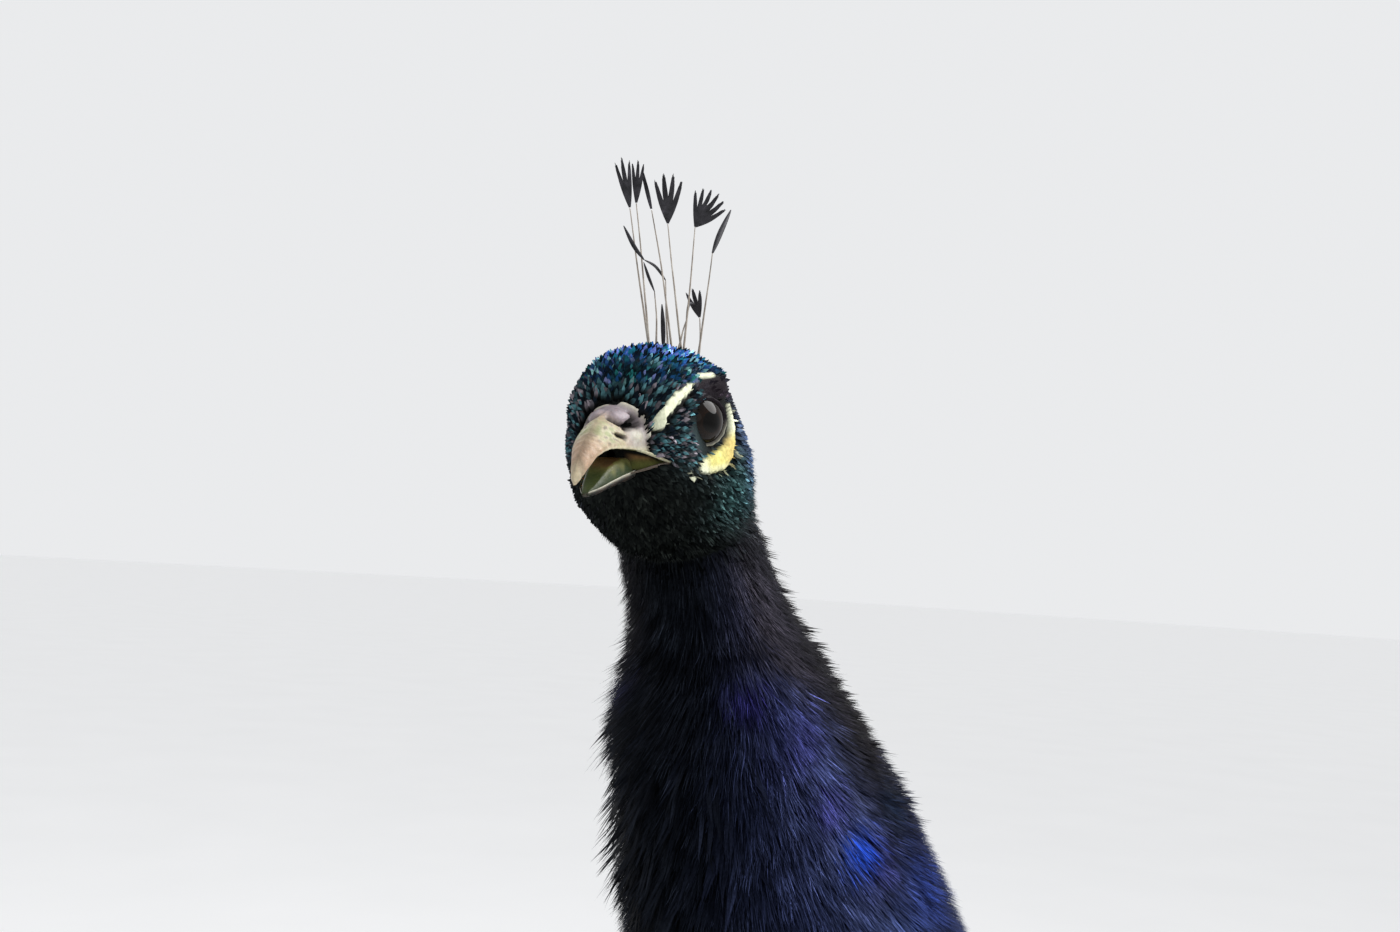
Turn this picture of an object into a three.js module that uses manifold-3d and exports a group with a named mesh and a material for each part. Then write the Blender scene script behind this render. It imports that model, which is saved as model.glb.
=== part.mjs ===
// A life-size Indian peafowl cock at rest: standing on both feet with its head a little turned to its left
// and its folded train laid out behind it on the floor.
// Millimetres. +Z is up, the bird faces -Y and its left side is +X.
// The origin is the bottom centre of its box.
// The bird is built straight ahead and symmetrical, then its neck is twisted to turn the head.
import * as THREE from "three";
import { mergeVertices } from "three/addons/utils/BufferGeometryUtils.js";
import Module from "manifold-3d";

const wasm = await Module();
wasm.setup();

// ---------------------------------------------------------------- driving dimensions
const GAP = 0.3; // clearance between touching pieces
const EYE_LINE_Y = -215; // point midway between the eyes
const EYE_LINE_Z = 725;
const HEAD_PITCH = THREE.MathUtils.degToRad(10); // bill carried below level
const HEAD_TURN = THREE.MathUtils.degToRad(25); // towards the bird's left
const TWIST_LOW_Z = 590; // the neck starts to twist here
const TWIST_HIGH_Z = 702; // and the head turns as one above here
const TWIST_TOP_Y = -198; // the neck's own line at TWIST_HIGH_Z
const NECK_LEAN = 0.466; // how far the neck's line goes back for each mm down

const EYE_RADIUS = 7.5;
const EYE_FORWARD = 2; // eye centre in the head's frame
const EYE_RISE = 0;
const EYE_SIDE = 12.2;

const AROUND = 20; // points round a body ring

// ---------------------------------------------------------------- small helpers
const clamp01 = (x) => Math.min(1, Math.max(0, x));
const smooth = (x) => clamp01(x) ** 2 * (3 - 2 * clamp01(x));
const mix = (a, b, t) => a + (b - a) * t;
const signedPower = (x, p) => Math.sign(x) * Math.abs(x) ** p;

// A smooth row between the rows of a table, at a fractional row number (uniform Catmull-Rom).
function tableRow(table, t) {
  const last = table.length - 1;
  const i = Math.min(last - 1, Math.max(0, Math.floor(t)));
  const f = t - i;
  return table[i].map((_, column) => {
    const at = (k) => {
      if (k < 0) return 2 * table[0][column] - table[1][column];
      if (k > last) return 2 * table[last][column] - table[last - 1][column];
      return table[k][column];
    };
    const [a, b, c, d] = [at(i - 1), at(i), at(i + 1), at(i + 2)];
    return b + 0.5 * f * (c - a + f * (2 * a - 5 * b + 4 * c - d + f * (3 * (b - c) + d - a)));
  });
}

// Evenly spaced row numbers.
const rowsBetween = (from, to, steps) => {
  return Array.from({ length: steps + 1 }, (_, i) => mix(from, to, i / steps));
};

// A closed surface through rings of points, with a fan of triangles over each end.
function loft(rings) {
  const around = rings[0].length;
  const positions = [];
  const triangle = (a, b, c) => positions.push(...a.toArray(), ...b.toArray(), ...c.toArray());
  for (let i = 0; i + 1 < rings.length; i++) {
    for (let j = 0; j < around; j++) {
      const k = (j + 1) % around;
      triangle(rings[i][j], rings[i + 1][j], rings[i + 1][k]);
      triangle(rings[i][j], rings[i + 1][k], rings[i][k]);
    }
  }
  const middle = (ring) => ring.reduce((sum, p) => sum.add(p), new THREE.Vector3()).divideScalar(around);
  const first = middle(rings[0]);
  const last = middle(rings[rings.length - 1]);
  for (let j = 0; j < around; j++) {
    const k = (j + 1) % around;
    triangle(first, rings[0][j], rings[0][k]);
    triangle(last, rings[rings.length - 1][k], rings[rings.length - 1][j]);
  }
  const geometry = new THREE.BufferGeometry();
  geometry.setAttribute("position", new THREE.Float32BufferAttribute(positions, 3));
  return outward(geometry);
}

// Turns every triangle over when the closed surface encloses a negative volume.
function outward(geometry) {
  const p = geometry.attributes.position.array;
  let volume = 0;
  for (let i = 0; i < p.length; i += 9) {
    const [a, b, c] = [0, 3, 6].map((k) => new THREE.Vector3(p[i + k], p[i + k + 1], p[i + k + 2]));
    volume += a.dot(b.cross(c));
  }
  if (volume >= 0) return geometry;
  for (let i = 0; i < p.length; i += 9) {
    for (let k = 3; k < 6; k++) [p[i + k], p[i + k + 3]] = [p[i + k + 3], p[i + k]];
  }
  return geometry;
}

// A tube of oval section along a smooth curve through points, with its radii given by a function of 0..1.
// The section's second axis is the one nearest to `upward`.
function tube(points, radii, steps, around, upward = new THREE.Vector3(0, 0, 1)) {
  const curve = new THREE.CatmullRomCurve3(points);
  const rings = [];
  for (let i = 0; i <= steps; i++) {
    const centre = curve.getPoint(i / steps);
    const along = curve.getTangent(i / steps);
    const side = new THREE.Vector3().crossVectors(along, upward).normalize();
    const up = new THREE.Vector3().crossVectors(side, along);
    const [rSide, rUp] = radii(i / steps);
    rings.push(
      Array.from({ length: around }, (_, j) => {
        const a = (2 * Math.PI * j) / around;
        return centre
          .clone()
          .addScaledVector(side, -rSide * Math.cos(a))
          .addScaledVector(up, -rUp * Math.sin(a));
      }),
    );
  }
  return loft(rings);
}

function toSolid(geometry) {
  const bare = geometry.index ? geometry.toNonIndexed() : geometry.clone();
  bare.deleteAttribute("normal");
  bare.deleteAttribute("uv");
  const merged = mergeVertices(outward(bare), 1e-4);
  return new wasm.Manifold(
    new wasm.Mesh({
      numProp: 3,
      vertProperties: merged.attributes.position.array,
      triVerts: new Uint32Array(merged.index.array),
    }),
  );
}

function toGeometry(solid) {
  const mesh = solid.getMesh();
  const geometry = new THREE.BufferGeometry();
  const count = mesh.numProp;
  const positions = new Float32Array((mesh.vertProperties.length / count) * 3);
  for (let i = 0; i < positions.length / 3; i++) {
    for (let k = 0; k < 3; k++) positions[3 * i + k] = mesh.vertProperties[count * i + k];
  }
  geometry.setAttribute("position", new THREE.BufferAttribute(positions, 3));
  geometry.setIndex(new THREE.BufferAttribute(new Uint32Array(mesh.triVerts), 1));
  return geometry;
}

const joined = (...geometries) => geometries.map(toSolid).reduce((a, b) => a.add(b));
const cutBy = (solid, ...geometries) => geometries.reduce((a, b) => a.subtract(toSolid(b)), solid);

// Only the largest body of a cut solid is kept, so that no loose sliver stays.
function largest(solid) {
  return solid.decompose().reduce((a, b) => (a.volume() > b.volume() ? a : b));
}

// Head frame (forward, up, side) to the bird's frame.
function headPoint(forward, up, side = 0) {
  return new THREE.Vector3(
    side,
    EYE_LINE_Y - forward * Math.cos(HEAD_PITCH) - up * Math.sin(HEAD_PITCH),
    EYE_LINE_Z - forward * Math.sin(HEAD_PITCH) + up * Math.cos(HEAD_PITCH),
  );
}

// The twist that turns the head: each level of the neck turns about the neck's own line.
function turnHead(geometry) {
  const p = geometry.attributes.position;
  for (let i = 0; i < p.count; i++) {
    const z = p.getZ(i);
    const angle = HEAD_TURN * smooth((z - TWIST_LOW_Z) / (TWIST_HIGH_Z - TWIST_LOW_Z));
    const axisY = TWIST_TOP_Y + NECK_LEAN * Math.max(0, TWIST_HIGH_Z - z);
    const x = p.getX(i);
    const y = p.getY(i) - axisY;
    p.setX(i, x * Math.cos(angle) - y * Math.sin(angle));
    p.setY(i, axisY + x * Math.sin(angle) + y * Math.cos(angle));
  }
  return geometry;
}

// ---------------------------------------------------------------- trunk, neck and head
// Each row: back line y, z, belly line y, z, half width, squareness, and egg, which widens the upper half and
// narrows the lower. From the rump to the shoulders and up the neck.
const TRUNK_RINGS = [
  [241, 401, 247, 377, 14, 2.0, 0],
  [236, 411, 243, 365, 34, 2.0, 0],
  [212, 422, 219, 346, 55, 2.0, 0],
  [172, 434, 179, 324, 72, 2.1, 0],
  [123, 443, 128, 303, 84, 2.1, 0],
  [75, 451, 75, 290, 91, 2.2, 0],
  [30, 459, 18, 286, 94, 2.2, 0],
  [-3, 467, -39, 294, 93, 2.2, 0],
  [-26, 474, -92, 314, 88, 2.1, 0],
  [-40, 483, -134, 350, 80, 2.1, 0],
  [-48, 496, -158, 396, 71, 2.0, 0],
  [-53, 516, -171, 443, 62, 2.0, 0],
  [-60, 546, -176, 489, 55, 2.0, 0],
  [-74, 579, -180, 531, 49, 2.0, 0],
  [-93, 612, -185.5, 571, 42.3, 2.0, 0],
  [-113.4, 642.6, -194.5, 607.5, 35.2, 2.0, 0],
  [-135.7, 668.2, -200.5, 638.5, 29, 2.0, 0],
  [-153, 687.6, -194.5, 664, 22.2, 2.0, 0],
];
// Each row: crown line forward, up, throat line forward, up, half width, squareness, egg.
// They are in the head's frame.
const HEAD_RINGS = [
  [-43.8, -27.4, -9, -38.6, 20, 2.0, 0],
  [-40.2, -13.6, -1, -36.6, 20, 2.0, 0.02],
  [-34, -2, 7, -33.6, 20, 2.05, 0.04],
  [-28, 8, 12.8, -29.6, 19.8, 2.1, 0.05],
  [-19.5, 14.2, 16.6, -26.2, 19.4, 2.15, 0.05],
  [-9.5, 17.5, 19.2, -23.2, 18.9, 2.2, 0.05],
  [1.5, 18.3, 21.3, -20.7, 17.8, 2.2, 0.05],
  [11.5, 16.9, 23.2, -18.5, 15.8, 2.3, 0.05],
  [19.3, 13.3, 24.9, -16.5, 13.3, 2.3, 0.03],
  [23.6, 8.8, 26.2, -14.5, 10.8, 2.1, 0],
  [26, 4, 27.4, -12.6, 8.6, 2.0, 0],
  [28, 1.6, 27.5, -11.4, 3.4, 2.0, 0],
];
const BODY_RINGS = [
  ...TRUNK_RINGS,
  ...HEAD_RINGS.map(([tf, tu, bf, bu, ...rest]) => {
    const top = headPoint(tf, tu);
    const bottom = headPoint(bf, bu);
    return [top.y, top.z, bottom.y, bottom.z, ...rest];
  }),
];
const NECK_TOP_ROW = TRUNK_RINGS.length; // first row of the head's own rings
const LAST_ROW = BODY_RINGS.length - 1;

// Swellings and hollows of the face: forward, up, side, height, reach.
const FACE_BUMPS = [
  [2, 0, 18.8, -3.2, 5.5], // eye socket
  [-4, 10, 16, 3.4, 4.4], // brow
  [4, -14, 15, 0.9, 7], // cheek
  [-14, -13, 18, 2.6, 7], // ear
  [-2, 16.5, 13, -1.5, 4.5], // side of the crown, over the brow
  [17, 0, 12, -0.5, 5.5], // lore
  [10, -0.5, 15.8, -0.6, 4.2], // hollow in front of the eye
];

function facePush(point) {
  const dy = point.y - EYE_LINE_Y;
  const dz = point.z - EYE_LINE_Z;
  const forward = -dy * Math.cos(HEAD_PITCH) - dz * Math.sin(HEAD_PITCH);
  const up = -dy * Math.sin(HEAD_PITCH) + dz * Math.cos(HEAD_PITCH);
  return FACE_BUMPS.reduce((sum, [f, u, s, height, reach]) => {
    const d2 = (forward - f) ** 2 + (up - u) ** 2 + (Math.abs(point.x) - s) ** 2;
    return sum + height * Math.exp(-d2 / (2 * reach * reach));
  }, 0);
}

// One ring of the body at a fractional row, grown outwards by `grow`.
function bodyRing(t, grow = 0, around = AROUND) {
  const [ty, tz, by, bz, width, squareness, egg] = tableRow(BODY_RINGS, t);
  const centre = new THREE.Vector3(0, (ty + by) / 2, (tz + bz) / 2);
  const half = new THREE.Vector3(0, (ty - by) / 2, (tz - bz) / 2);
  const height = half.length();
  return Array.from({ length: around }, (_, j) => {
    const a = (2 * Math.PI * j) / around;
    const rise = signedPower(Math.cos(a), 2 / squareness);
    const side = signedPower(Math.sin(a), 2 / squareness);
    const p = centre.clone().addScaledVector(half, rise * (1 + grow / height));
    p.x = side * (1 + egg * rise) * (width + grow);
    const outward = p.clone().sub(centre).normalize();
    return p.addScaledVector(outward, facePush(p));
  });
}

// A length of the body through the given rows, with flat ends.
const bodyLength = (rows, grow = 0, around = AROUND) => loft(rows.map((t) => bodyRing(t, grow, around)));

// ---------------------------------------------------------------- bill
// Rows: forward, culmen height, edge height, half width at the edge, height of the palate.
const UPPER_BILL = [
  [13, 2.3, -8.8, 8.6, -6.6],
  [19, 4.3, -8.5, 8.6, -6.3],
  [25, 4.9, -7, 8.6, -5.4],
  [31, 3.5, -5.6, 7.4, -4.1],
  [37, 1.6, -5, 5.7, -3.6],
  [42.6, -1.9, -5.7, 3.8, -4.6],
  [47.4, -6.2, -9.6, 2.1, -8.4],
  [50.3, -10.6, -12.2, 1, -11.7],
];
// Rows: forward, edge height, keel height, half width.
const LOWER_BILL = [
  [13, -10.4, -13.6, 7.7],
  [19, -10.2, -13.4, 7.2],
  [25, -10.6, -13.8, 6.3],
  [30, -11.3, -14.2, 5.3],
  [35, -12.3, -14.8, 4.1],
  [40, -13.6, -15.6, 2.7],
  [43.8, -14.6, -15.7, 0.9],
];

// A half of the bill, with its hidden end set back when it is grown.
function billRings(table, steps, around, grow, section) {
  const rings = [];
  for (let i = 0; i <= steps; i++) {
    const row = tableRow(table, (i / steps) * (table.length - 1));
    if (i === 0) row[0] -= 2 * grow;
    rings.push(
      Array.from({ length: around }, (_, j) => {
        const a = (2 * Math.PI * j) / around;
        const [up, side] = section(row, a);
        return headPoint(row[0], up, side);
      }),
    );
  }
  return loft(rings);
}

function upperBill(grow = 0) {
  return billRings(UPPER_BILL, 10, 14, grow, ([, culmen, edge, width, palate], a) => {
    const side = (width + grow) * Math.sin(a);
    const rise = Math.cos(a);
    if (rise > 0.01) return [edge + (culmen + grow - edge) * rise ** 0.85, side];
    return [edge - 2.5 * grow + (palate - edge) * -rise, side];
  });
}

function lowerBill(grow = 0) {
  return billRings(LOWER_BILL, 8, 10, grow, ([, edge, keel, width], a) => {
    const side = (width + grow) * Math.sin(a);
    const rise = Math.cos(a);
    if (rise > 0.01) return [edge + grow + 0.4 * rise, side];
    return [edge + (edge + grow - keel) * rise, side];
  });
}

// ---------------------------------------------------------------- crest
const CREST_ROOT = [-17, 14.8]; // forward, up
const CREST_ROOT_RADII = [7, 4.4, 8.5]; // side, up, forward
const CREST_SHAFT = 0.5; // shaft radius
const CREST_FAN_FACE = new THREE.Vector3(0.6, 0.8, 0); // the fans are widest nearly along this
// Each feather: tip forward, up, side from the root, then the size of its fan.
const CREST_FEATHERS = [
  [19, 50, -8.6, 5.5],
  [13.5, 51, -7.2, 5.5],
  [8.5, 49.5, -7.0, 5.5],
  [3, 47.5, -1.5, 5.5],
  [-7, 43, 5.0, 6.0],
  [-19, 38.5, 8.5, 3.0],
  [-9, 17, 2.0, 3.0],
  [15, 33, -9.5, 2.5],
  [2, 14, -3.0, 2.5],
  [-11, 40, -3.0, 5.0],
  [-22, 31, -1.5, 4.5],
];

function crestRoot(grow = 0) {
  const geometry = new THREE.SphereGeometry(1, 10, 6);
  const [side, up, forward] = CREST_ROOT_RADII.map((r) => r + grow);
  geometry.scale(side, forward, up);
  geometry.rotateX(HEAD_PITCH);
  const at = headPoint(CREST_ROOT[0], CREST_ROOT[1]);
  return geometry.translate(at.x, at.y, at.z);
}

function crest() {
  const root = headPoint(CREST_ROOT[0], CREST_ROOT[1]);
  const shafts = CREST_FEATHERS.map(([forward, up, side, fan], i) => {
    const tip = headPoint(CREST_ROOT[0] + forward, CREST_ROOT[1] + up, side);
    const startSide = 0.32 * side + 0.5 * ((i % 3) - 1);
    const start = headPoint(CREST_ROOT[0] + 0.22 * forward, CREST_ROOT[1] + 1, startSide);
    const bend = start.clone().lerp(tip, 0.5).addScaledVector(root.clone().sub(tip), 0.02);
    bend.y -= 0.06 * forward;
    const long = tip.distanceTo(root);
    const fanFrom = 1 - (2.2 * fan) / long;
    const widths = (t) => {
      const k = clamp01((t - fanFrom) / (1 - fanFrom));
      const swell = Math.sin(Math.PI * Math.min(0.93, k)) * fan * 0.5;
      return [CREST_SHAFT + 0.1, CREST_SHAFT + swell];
    };
    return tube([start, bend, tip], widths, 5, 4, CREST_FAN_FACE);
  });
  return toGeometry(joined(crestRoot(), ...shafts));
}

// ---------------------------------------------------------------- wings
// Rows: y, top z, top x, bottom z, bottom x, outermost x.
// They run from the shoulder to the tip of the flight feathers.
const WING_ROWS = [
  [-113, 432, 60, 414, 62, 66],
  [-104, 450, 53, 398, 60, 76],
  [-80, 467, 52, 362, 68, 93],
  [-40, 471, 52, 332, 68, 104],
  [10, 466, 52, 318, 66, 107],
  [70, 457, 50, 318, 63, 104],
  [130, 445, 48, 326, 58, 96],
  [190, 429, 46, 340, 52, 84],
  [240, 413, 44, 352, 47, 72],
  [285, 397, 43, 363, 44, 59],
  [322, 383, 42, 373, 42, 49],
];
const WING_THICK = 15;
const WING_EDGE = 1.3; // half thickness at the upper and lower edges
const WING_SPLIT_ROW = 5.6; // coverts in front of this row, flight feathers behind it

function wingRing(t, grow) {
  const [y, topZ, topX, bottomZ, bottomX, outX] = tableRow(WING_ROWS, t);
  const half = 6;
  const line = (k, offset, shift, spread) => {
    const bulge = Math.sin(Math.PI * k) ** 0.75;
    const x = mix(topX, bottomX, k);
    const z = mix(topZ + spread, bottomZ - spread, k);
    return new THREE.Vector3(x + (outX + offset - x) * bulge + shift, y, z);
  };
  const ring = [];
  for (let i = 0; i <= half; i++) ring.push(line(i / half, grow, WING_EDGE + grow, grow));
  for (let i = half; i >= 0; i--) ring.push(line(i / half, -WING_THICK, -WING_EDGE - grow, 0));
  return ring;
}

const wing = (rows, grow = 0) => loft(rows.map((t) => wingRing(t, grow)));

// ---------------------------------------------------------------- train and tail
// Rows: y, top z, bottom z, half width. From the lower back to the end that lies on the floor.
const TRAIN_ROWS = [
  [92, 455, 428, 46],
  [120, 456, 410, 62],
  [165, 452, 396, 74],
  [230, 443, 386, 82],
  [320, 424, 366, 90],
  [430, 394, 332, 98],
  [560, 352, 290, 107],
  [700, 303, 241, 117],
  [850, 246, 184, 128],
  [1000, 186, 124, 139],
  [1140, 130, 70, 148],
  [1260, 84, 28, 153],
  [1360, 52, -0.4, 152],
  [1440, 34, -0.8, 142],
  [1500, 24, -0.8, 122],
  [1545, 16, -0.4, 92],
];
const TRAIN_CUTS = [6.5, 10.5]; // rows where the train is parted
const TRAIN_AROUND = 16;
const TRAIN_DOME = 0.62; // share of the height that is over the widest line

function trainRing(t, grow = 0) {
  const [y, top, bottom, width] = tableRow(TRAIN_ROWS, t);
  const low = bottom - grow;
  const waist = mix(top, low, TRAIN_DOME);
  return Array.from({ length: TRAIN_AROUND }, (_, j) => {
    const a = (2 * Math.PI * j) / TRAIN_AROUND;
    const rise = Math.cos(a);
    const over = (top + grow - waist) * Math.max(0, rise) ** 0.9;
    const under = (waist - low) * Math.max(0, -rise) ** 0.7;
    return new THREE.Vector3((width + grow) * Math.sin(a), y, waist + over - under);
  });
}

const train = (rows, grow = 0) => loft(rows.map((t) => trainRing(t, grow)));

// The tips of the longest feathers, as flat leaves fanned over the train's end.
const TRAIN_LEAVES = 9;
const LEAF_LONG = 62;
const LEAF_WIDE = 22;
const LEAF_THICK = 3;

function trainLeaves() {
  return Array.from({ length: TRAIN_LEAVES }, (_, i) => {
    const across = i / (TRAIN_LEAVES - 1) - 0.5;
    const leaf = new THREE.SphereGeometry(1, 8, 3);
    leaf.scale(LEAF_WIDE, LEAF_LONG, LEAF_THICK);
    leaf.rotateZ(-across * 0.9);
    return leaf.translate(across * 215, 1542 - 150 * across * across * 1.4, LEAF_THICK + 3);
  });
}

// The true tail: a stiff fan of brown quills under the train.
const TAIL_ROWS = [
  [228, 384, 7, 34],
  [270, 375, 7, 46],
  [340, 357, 6, 58],
  [420, 333, 5, 68],
  [500, 307, 4, 75],
  [560, 287, 3, 74],
  [590, 277, 2, 60],
];
const TAIL_AROUND = 12;

function tail(grow = 0) {
  const rings = [];
  for (const t of rowsBetween(0, TAIL_ROWS.length - 1, 7)) {
    const [y, z, thick, width] = tableRow(TAIL_ROWS, t);
    rings.push(
      Array.from({ length: TAIL_AROUND }, (_, j) => {
        const a = (2 * Math.PI * j) / TAIL_AROUND;
        const x = (width + grow) * Math.sin(a);
        const droop = 0.0018 * x * x;
        return new THREE.Vector3(x, y, z - droop + (thick / 2 + grow) * Math.cos(a));
      }),
    );
  }
  return loft(rings);
}

// ---------------------------------------------------------------- legs
const STEP = 14; // the left foot stands this far forward and the right foot this far back
const HOCK = [53, 72, 152];
const ANKLE = [52, 10, 16];
const KNEE = [60, 6, 330];

// A point on a leg: side is 1 for the left and -1 for the right. Lower points shift more with the stride.
function legPoint(side, [x, y, z]) {
  const share = 1 - clamp01(z / KNEE[2]);
  return new THREE.Vector3(side * x, y - side * STEP * share, z);
}

function thigh(side) {
  const path = [KNEE, [60, 20, 282], [58, 42, 228], [55, 62, 182], HOCK].map((p) => legPoint(side, p));
  const radii = (t) => [mix(36, 11, t ** 0.75), mix(52, 11.5, t ** 0.72)];
  return tube(path, radii, 7, 12, new THREE.Vector3(0, 1, 0));
}

function shank(side, grow = 0) {
  const hockEnd = [53.2, 72.8 + grow, 151.2 + grow];
  const ankleEnd = [ANKLE[0], ANKLE[1] - grow, ANKLE[2] - grow];
  const path = [hockEnd, [53, 60, 122], [52.5, 34, 68], [52, 14, 26], ankleEnd].map((p) => legPoint(side, p));
  const radii = (t) => {
    const joint = Math.exp(-((t / 0.1) ** 2));
    const foot = Math.exp(-(((1 - t) / 0.12) ** 2));
    return [4.6 + 4.2 * joint + 2.2 * foot + grow, 6.0 + 4.0 * joint + 1.6 * foot + grow];
  };
  return tube(path, radii, 9, 8, new THREE.Vector3(0, 1, 0));
}

// Toes: splay angle in degrees (positive is outwards), length to the claw, root radius.
const TOES = {
  middle: [4, 60, 6.4],
  inner: [-27, 43, 5.6],
  outer: [33, 46, 5.6],
  hind: [172, 22, 4.6],
};
const CLAW_LONG = { middle: 14, inner: 12, outer: 12, hind: 11 };
const CLAW_ROOT = 1.6; // how far each claw is set into its toe
const PAD = [52, 8, 7]; // centre of the foot
const TOE_TIP_SHARE = 0.62; // radius at the claw, as a share of the root's
const SOLE_SHARE = 0.84; // height of a toe's middle, as a share of its radius: the rest is its flat

function toeLine(side, name) {
  const [splay, long, radius] = TOES[name];
  const angle = THREE.MathUtils.degToRad(splay);
  const heading = new THREE.Vector3(side * Math.sin(angle), -Math.cos(angle), 0);
  const root = legPoint(side, PAD);
  root.z = name === "hind" ? 15 : radius * SOLE_SHARE;
  const end = root.clone().addScaledVector(heading, long);
  end.z = radius * TOE_TIP_SHARE * SOLE_SHARE;
  return { root, end, heading, radius };
}

function foot(side) {
  const toes = Object.keys(TOES).map((name) => {
    const { root, end, radius } = toeLine(side, name);
    const knuckle = root.clone().lerp(end, 0.45);
    if (name === "hind") knuckle.z -= 1;
    const radii = (t) => {
      const r = radius * mix(1, TOE_TIP_SHARE, t) * (1 + 0.07 * Math.cos(6 * Math.PI * t));
      return [r, r];
    };
    return tube([root, knuckle, end], radii, 4, 6);
  });
  const pad = new THREE.SphereGeometry(9.5, 8, 4);
  const at = legPoint(side, PAD);
  pad.scale(1, 1, 0.75);
  pad.translate(at.x, at.y, at.z);
  const floorCut = new THREE.BoxGeometry(400, 400, 40).translate(0, 0, -20);
  const claws = Object.keys(TOES).map((name) => claw(side, name, GAP));
  return toGeometry(largest(cutBy(joined(pad, ...toes), floorCut, shank(side, GAP), ...claws)));
}

function claw(side, name, grow = 0) {
  const { end, heading, radius } = toeLine(side, name);
  const long = CLAW_LONG[name];
  const base = end.clone().addScaledVector(heading, -CLAW_ROOT - grow);
  const middle = end.clone().addScaledVector(heading, 0.5 * long);
  middle.z += 0.8;
  const tip = end.clone().addScaledVector(heading, long);
  tip.z = 0.9;
  const r = radius * TOE_TIP_SHARE * 0.78;
  return tube([base, middle, tip], (t) => [mix(r, 0.35, t) + grow, mix(r, 0.45, t ** 1.2) + grow], 3, 6);
}

function spur(side) {
  const root = legPoint(side, [49.8, 32, 58]);
  const tip = root.clone().add(new THREE.Vector3(-side * 9, 13, 5));
  const bend = root.clone().lerp(tip, 0.55);
  bend.z -= 1.5;
  return tube([root, bend, tip], (t) => [mix(3.2, 0.5, t), mix(3.2, 0.5, t)], 3, 6);
}

// ---------------------------------------------------------------- materials
const paint = (color, roughness, metalness = 0) => {
  return new THREE.MeshStandardMaterial({ color, roughness, metalness });
};
const MATERIALS = {
  faceFeathers: paint(0x12404a, 0.55, 0.3),
  blueFeathers: paint(0x10206e, 0.5, 0.4),
  backFeathers: paint(0x2c5a3a, 0.5, 0.4),
  barredFeathers: paint(0x8d7b5f, 0.75),
  chestnutFeathers: paint(0x7c4a28, 0.7),
  trainFeathers: paint(0x3b5a2c, 0.5, 0.4),
  tailFeathers: paint(0x4b3b2b, 0.7),
  thighFeathers: paint(0x9a8665, 0.85),
  crestFeathers: paint(0x1b2233, 0.6),
  eyes: paint(0x1c0e08, 0.08),
  bill: paint(0xa08e72, 0.45),
  legs: paint(0x6d6557, 0.65),
  claws: paint(0x3a342c, 0.45),
};

// ---------------------------------------------------------------- the bird
const bird = new THREE.Group();

function place(name, geometry, material) {
  const mesh = new THREE.Mesh(turnHead(geometry), material);
  mesh.name = name;
  bird.add(mesh);
}

const SLIT = 0.006; // half a gap, in rows of the body
const HEAD_SLIT = 0.02;
const TRUNK_ROW = 6.5;
const NECK_ROW = 12;
const UPPER_NECK_ROW = 14.6;
const HEAD_ROW = NECK_TOP_ROW + 1.2;

const trunkRows = rowsBetween(0, TRUNK_ROW - SLIT, 8);
const breastRows = rowsBetween(TRUNK_ROW + SLIT, NECK_ROW - SLIT, 8);
const lowerNeckRows = rowsBetween(NECK_ROW + SLIT, UPPER_NECK_ROW - SLIT, 5);
const upperNeckRows = rowsBetween(UPPER_NECK_ROW + SLIT, HEAD_ROW - HEAD_SLIT, 8);
place("trunk", bodyLength(trunkRows), MATERIALS.blueFeathers);
place("breast", bodyLength(breastRows), MATERIALS.blueFeathers);
place("neck_lower", bodyLength(lowerNeckRows), MATERIALS.blueFeathers);
place("neck_upper", bodyLength(upperNeckRows), MATERIALS.blueFeathers);

const eyeBall = (side, grow = 0) => {
  const at = headPoint(EYE_FORWARD, EYE_RISE, side * EYE_SIDE);
  return new THREE.SphereGeometry(EYE_RADIUS + grow, 12, 8).rotateY(Math.PI / 2).translate(at.x, at.y, at.z);
};
const headBlock = toSolid(bodyLength(rowsBetween(HEAD_ROW + HEAD_SLIT, LAST_ROW, 11), 0));
const sockets = [eyeBall(1, GAP), eyeBall(-1, GAP), upperBill(GAP), lowerBill(GAP), crestRoot(GAP)];
const head = cutBy(headBlock, ...sockets);
place("head", toGeometry(largest(head)), MATERIALS.faceFeathers);
place("eye_left", eyeBall(1), MATERIALS.eyes);
place("eye_right", eyeBall(-1), MATERIALS.eyes);
place("bill_upper", upperBill(), MATERIALS.bill);
place("bill_lower", lowerBill(), MATERIALS.bill);
place("crest", crest(), MATERIALS.crestFeathers);

const bodyGrown = bodyLength([-0.03, ...trunkRows, ...breastRows], 1.5 * GAP);
const mirrored = (geometry) => geometry.clone().scale(-1, 1, 1);
const covertRows = rowsBetween(0, WING_SPLIT_ROW - SLIT, 7);
const quillRows = rowsBetween(WING_SPLIT_ROW + SLIT, WING_ROWS.length - 1, 6);
const leftWing = largest(cutBy(toSolid(wing(covertRows)), bodyGrown));
const leftQuills = largest(cutBy(toSolid(wing(quillRows)), bodyGrown));
for (const [name, side] of [["left", 1], ["right", -1]]) {
  const sided = (solid) => {
    const geometry = toGeometry(solid);
    return side === 1 ? geometry : toGeometry(toSolid(mirrored(geometry)));
  };
  place(`wing_${name}`, sided(leftWing), MATERIALS.barredFeathers);
  place(`flight_feathers_${name}`, sided(leftQuills), MATERIALS.chestnutFeathers);
}

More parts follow.
